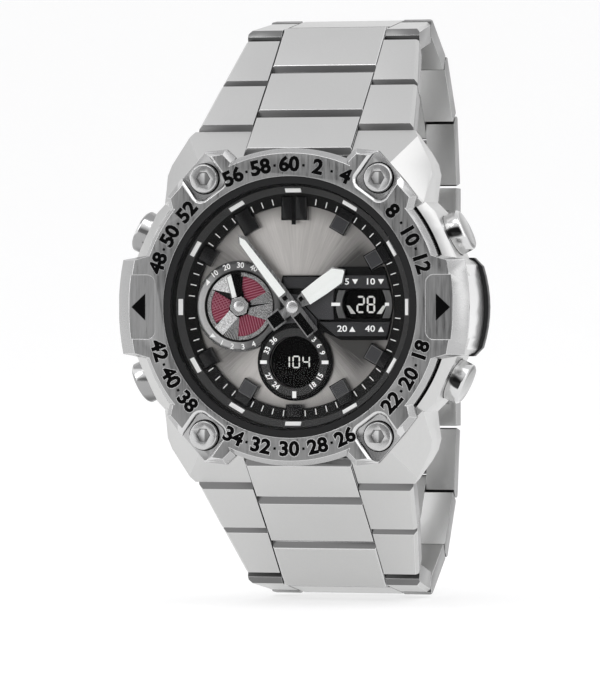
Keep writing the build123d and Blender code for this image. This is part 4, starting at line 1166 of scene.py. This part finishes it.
low_ring = flat_ring("low_window_ring", 4.75, 3.66, FRAME_TOP - 0.05, FRAME_TOP + 0.3, LOW_CENTRE)
add_piece("low_window_ring", low_ring, "head", "black_frame", grooved_ring())
strip_places = (("5", 7.6, 3.5), ("10", 10.9, 3.5), ("20", 6.9, -3.05), ("40", 10.9, -3.05))
strip_entries = [(characters, 0.85, across, up, 0) for characters, across, up in strip_places]
written("strip_numbers", strip_entries, FRAME_TOP - 0.15, white_paint, "white_hand", weight=0.02, width=1.2)
arrow_places = ((8.75, 3.88, 3.15), (12.45, 3.88, 3.15), (8.35, -3.45, -2.7), (12.45, -3.45, -2.7))
triangles = [
    [(across - 0.44, base), (across + 0.44, base), (across, tip)] for across, base, tip in arrow_places
]
raised("strip_triangles", triangles, FRAME_TOP - 0.17, FRAME_TOP, white_paint, "white_hand")
low_numbers = (
    ("3", 42), ("6", 57), ("9", 72), ("15", 119), ("18", 141), ("24", 219), ("27", 241), ("33", 293),
    ("36", 315),
)
low_entries = round_entries(low_numbers, 0.74, 4.22, LOW_CENTRE)
written("low_window_numbers", low_entries, FRAME_TOP - 0.07, white_paint, "white_hand", weight=0.025)
print("bridge top at depth", round(FRAME_TOP, 2))

# %% [markdown]
# The windows are reversed liquid crystals: black glass with pale segments. A digit is seven
# segments with mitred ends, so one function draws a digit from its list of lit segments.

# %% Digits in the windows
SEGMENTS = {"0": "abcdef", "1": "bc", "2": "abged", "4": "fgbc", "8": "abcdefg"}


def segment(kind, width, height, thick):
    """Outline of one segment of a digit whose lower left corner is the origin."""
    half, gap = thick / 2, thick * 0.18
    if kind in "adg":
        up = {"a": height - half, "d": half, "g": height / 2}[kind]
        left, right = half + gap, width - half - gap
        return [(left, up), (left + half, up + half), (right - half, up + half), (right, up),
                (right - half, up - half), (left + half, up - half)]
    across = width - half if kind in "bc" else half
    low, high = (height / 2, height - half) if kind in "bf" else (half, height / 2)
    low, high = low + gap, high - gap
    return [(across, low), (across - half, low + half), (across - half, high - half), (across, high),
            (across + half, high - half), (across + half, low + half)]


def digits(text, left, low, width, height, thick, space):
    """Outlines of the lit segments of a number, from its lower left corner."""
    outlines = []
    for place, digit in enumerate(text):
        corner = (left + place * (width + space), low)
        outlines += [moved(segment(kind, width, height, thick), corner) for kind in SEGMENTS[digit]]
    return outlines


glass_black = moulded("display_glass", grey(0.001), 0.2, depth=0.0000001, shine=0.05)
segment_pale = moulded("display_segments", (0.85, 0.85, 0.82), 0.4, depth=0.000001, spread=0.03)
finish_solid("window_panels", glass_black)
PANEL_TOP = front_depth("window_panels")
lit = digits("28", RIGHT_CENTRE[0] - 1.4, -0.85, 1.2, 2.4, 0.26, 0.28)
lit += digits("104", LOW_CENTRE[0] - 2.05, LOW_CENTRE[1] - 0.85, 1.08, 1.75, 0.19, 0.36)
corner_mark = ((1.5, -0.95), (2.2, -0.95), (2.85, 0.2), (2.4, 0.2))
for sign in (-1, 1):
    lit.append([(RIGHT_CENTRE[0] + sign * across, up) for across, up in corner_mark])
raised("display_segments", lit, PANEL_TOP - 0.03, PANEL_TOP + 0.1, segment_pale, "window_glass")
print("display at depth", round(PANEL_TOP, 2))

# %% [markdown]
# The long hands are brushed steel outlines with a white luminous field towards the tip and a black
# field in the tail, and the small hand is half white and half black. The fields are thin plates
# that ride on the hand's own body, and round caps close the two pivots. HANDS gives each
# hand's clockwise turn from 12, its pivot, and how far its flat top lies behind its front, and
# HAND_PLATES each plate's lift above that top and its outline with the hand pointing to 12.

# %% Hands
HUB_ABOVE_MINUTE_HAND = 0.3
HUB_ABOVE_SMALL_HAND = 0.25
HANDS = {
    "hour_hand": (55.0, DIAL_CENTRE, 0.0),
    "minute_hand": (-38.0, DIAL_CENTRE, HUB_ABOVE_MINUTE_HAND),
    "small_hand": (-15.0, SMALL_CENTRE, HUB_ABOVE_SMALL_HAND),
}
hand_steel = brushed_steel("hand_steel", grey(0.24), 2, roughness=0.28, contrast=0.3)
lume = moulded("luminous_white", (0.9, 0.92, 0.9), 0.5, grain=9000.0, depth=0.000003, spread=0.02)
for node in HANDS:
    soften(node, 0.03, (hand_steel,))
print("hand fronts:", [round(front_depth(node), 2) for node in HANDS])


HAND_PLATES = (
    ("hour_field", "hour_hand", lume, 0.03, [
        (-1.1, 2.15), (-1.24, 5.0), (-1.22, 7.6), (-0.15, 8.8),
        (0.15, 8.8), (1.22, 7.6), (1.24, 5.0), (1.1, 2.15),
    ]),
    ("hour_ridge", "hour_hand", lume, 0.07, [
        (-0.95, 2.6), (-1.02, 7.45), (0.0, 8.45), (0.12, 7.45), (0.12, 2.6),
    ]),
    ("hour_slot", "hour_hand", ink, 0.03, box_points(-0.62, 1.25, 0.0, 1.85)),
    ("hour_tail", "hour_hand", ink, 0.03, box_points(-0.88, -4.0, 0.88, -2.1)),
    ("minute_field", "minute_hand", lume, 0.03, [
        (-0.72, 2.25), (-0.72, 4.1), (-0.56, 11.6), (-0.05, 12.4), (0.34, 11.6), (0.48, 4.1), (0.48, 2.25),
    ]),
    ("minute_slot", "minute_hand", ink, 0.03, box_points(-0.42, 1.3, 0.22, 1.95)),
    ("minute_tail", "minute_hand", ink, 0.03, box_points(-0.78, -4.5, 0.42, -1.25)),
    ("small_hand_white", "small_hand", lume, 0.03, [
        (-0.72, 1.15), (-0.72, 4.35), (-0.06, 4.55), (-0.06, 1.15),
    ]),
    ("small_hand_black", "small_hand", ink, 0.03, [(-0.04, 1.15), (-0.04, 4.55), (1.0, 4.5), (1.0, 1.15)]),
)
for name, node, finish, lift, points in HAND_PLATES:
    turn, pivot, behind = HANDS[node]
    top = front_depth(node) + behind
    slot = "white_hand" if finish == lume else "black_marker"
    outline = turned_points(points, turn, pivot)
    raised(name, [outline], top - lift, top + 0.05, finish, slot, body=node, edge=0.02)
cap_steel = polished_steel("cap_steel", grey(0.62), roughness=0.27)


def turned_cap(name, node, middle, profile):
    """Round cap on a hand's pivot, from radius and depth pairs; depths count from the hand's front."""
    pivot = HANDS[node][1]
    front = front_depth(node)
    shape = bmesh.new()
    top = shape.verts.new(on_dial(*pivot, front + middle))
    loops = [circle_loop(shape, radius, front + drop, pivot) for radius, drop in profile]
    for first, second in zip(loops, loops[1:]):
        bridge_loops(shape, first, second)
    shape.faces.new(loops[-1])
    count = len(loops[0])
    for index in range(count):
        shape.faces.new((top, loops[0][index], loops[0][(index + 1) % count]))
    mesh = finished_mesh(shape, name, outwards=True)
    for face in mesh.polygons:
        face.use_smooth = True
    mesh.set_sharp_from_angle(angle=radians(35))
    add_piece(name, mesh, node, "polished_steel", cap_steel)


hub_profile = ((0.3, -0.12), (0.6, -0.09), (0.82, -0.02), (0.93, 0.08), (0.93, 0.2))
boss_profile = ((0.5, -0.13), (0.8, -0.03), (0.84, 0.1))
turned_cap("hub_cap", "minute_hand", -0.13, hub_profile)
turned_cap("small_boss", "small_hand", -0.16, boss_profile)
print("hand fields ready")

# %% [markdown]
# The crystal only shows by what it reflects, so it is a mirror that is almost clear: its alpha
# grows with the angle, which lets the dial through from the front and brightens at a low angle.
# Its side wall stays clear, because it would lay a haze over the dial ring.

# %% Crystal and case back
def clear_crystal():
    recipe = Finish(
        "clear_crystal", Base_Color=grey(0.9), Metallic=1.0, Roughness=0.02,
    )
    facing = recipe.node("ShaderNodeLayerWeight", None, {"Blend": 0.5})["Facing"]
    away = recipe.normal()["Y"]
    on_flats = recipe.smooth_step(away * away, 0.4, 0.9)
    return recipe.feed(Alpha=(facing * facing * facing * 0.35 + 0.004) * on_flats)


finish_solid("crystal", clear_crystal())


def turned_back():
    """Steel with the fine circles that a lathe leaves."""
    recipe = Finish("turned_back", Metallic=1.0, IOR=2.2)
    radius, side, top = recipe.polar()
    circles = recipe.combine(radius * 30000.0, side * 2.0, top * 2.0)
    rings = recipe.noise(circles, 1.0, 2.0)
    colour = recipe.blend(rings, grey(0.5), grey(0.66))
    return recipe.feed(Base_Color=colour, Roughness=(rings - 0.5) * 0.15 + 0.34,
                       Normal=recipe.bumped(rings, 0.000004, 0.6))


soften("case_back", 0.1, (turned_back(),))
print("crystal and back ready")
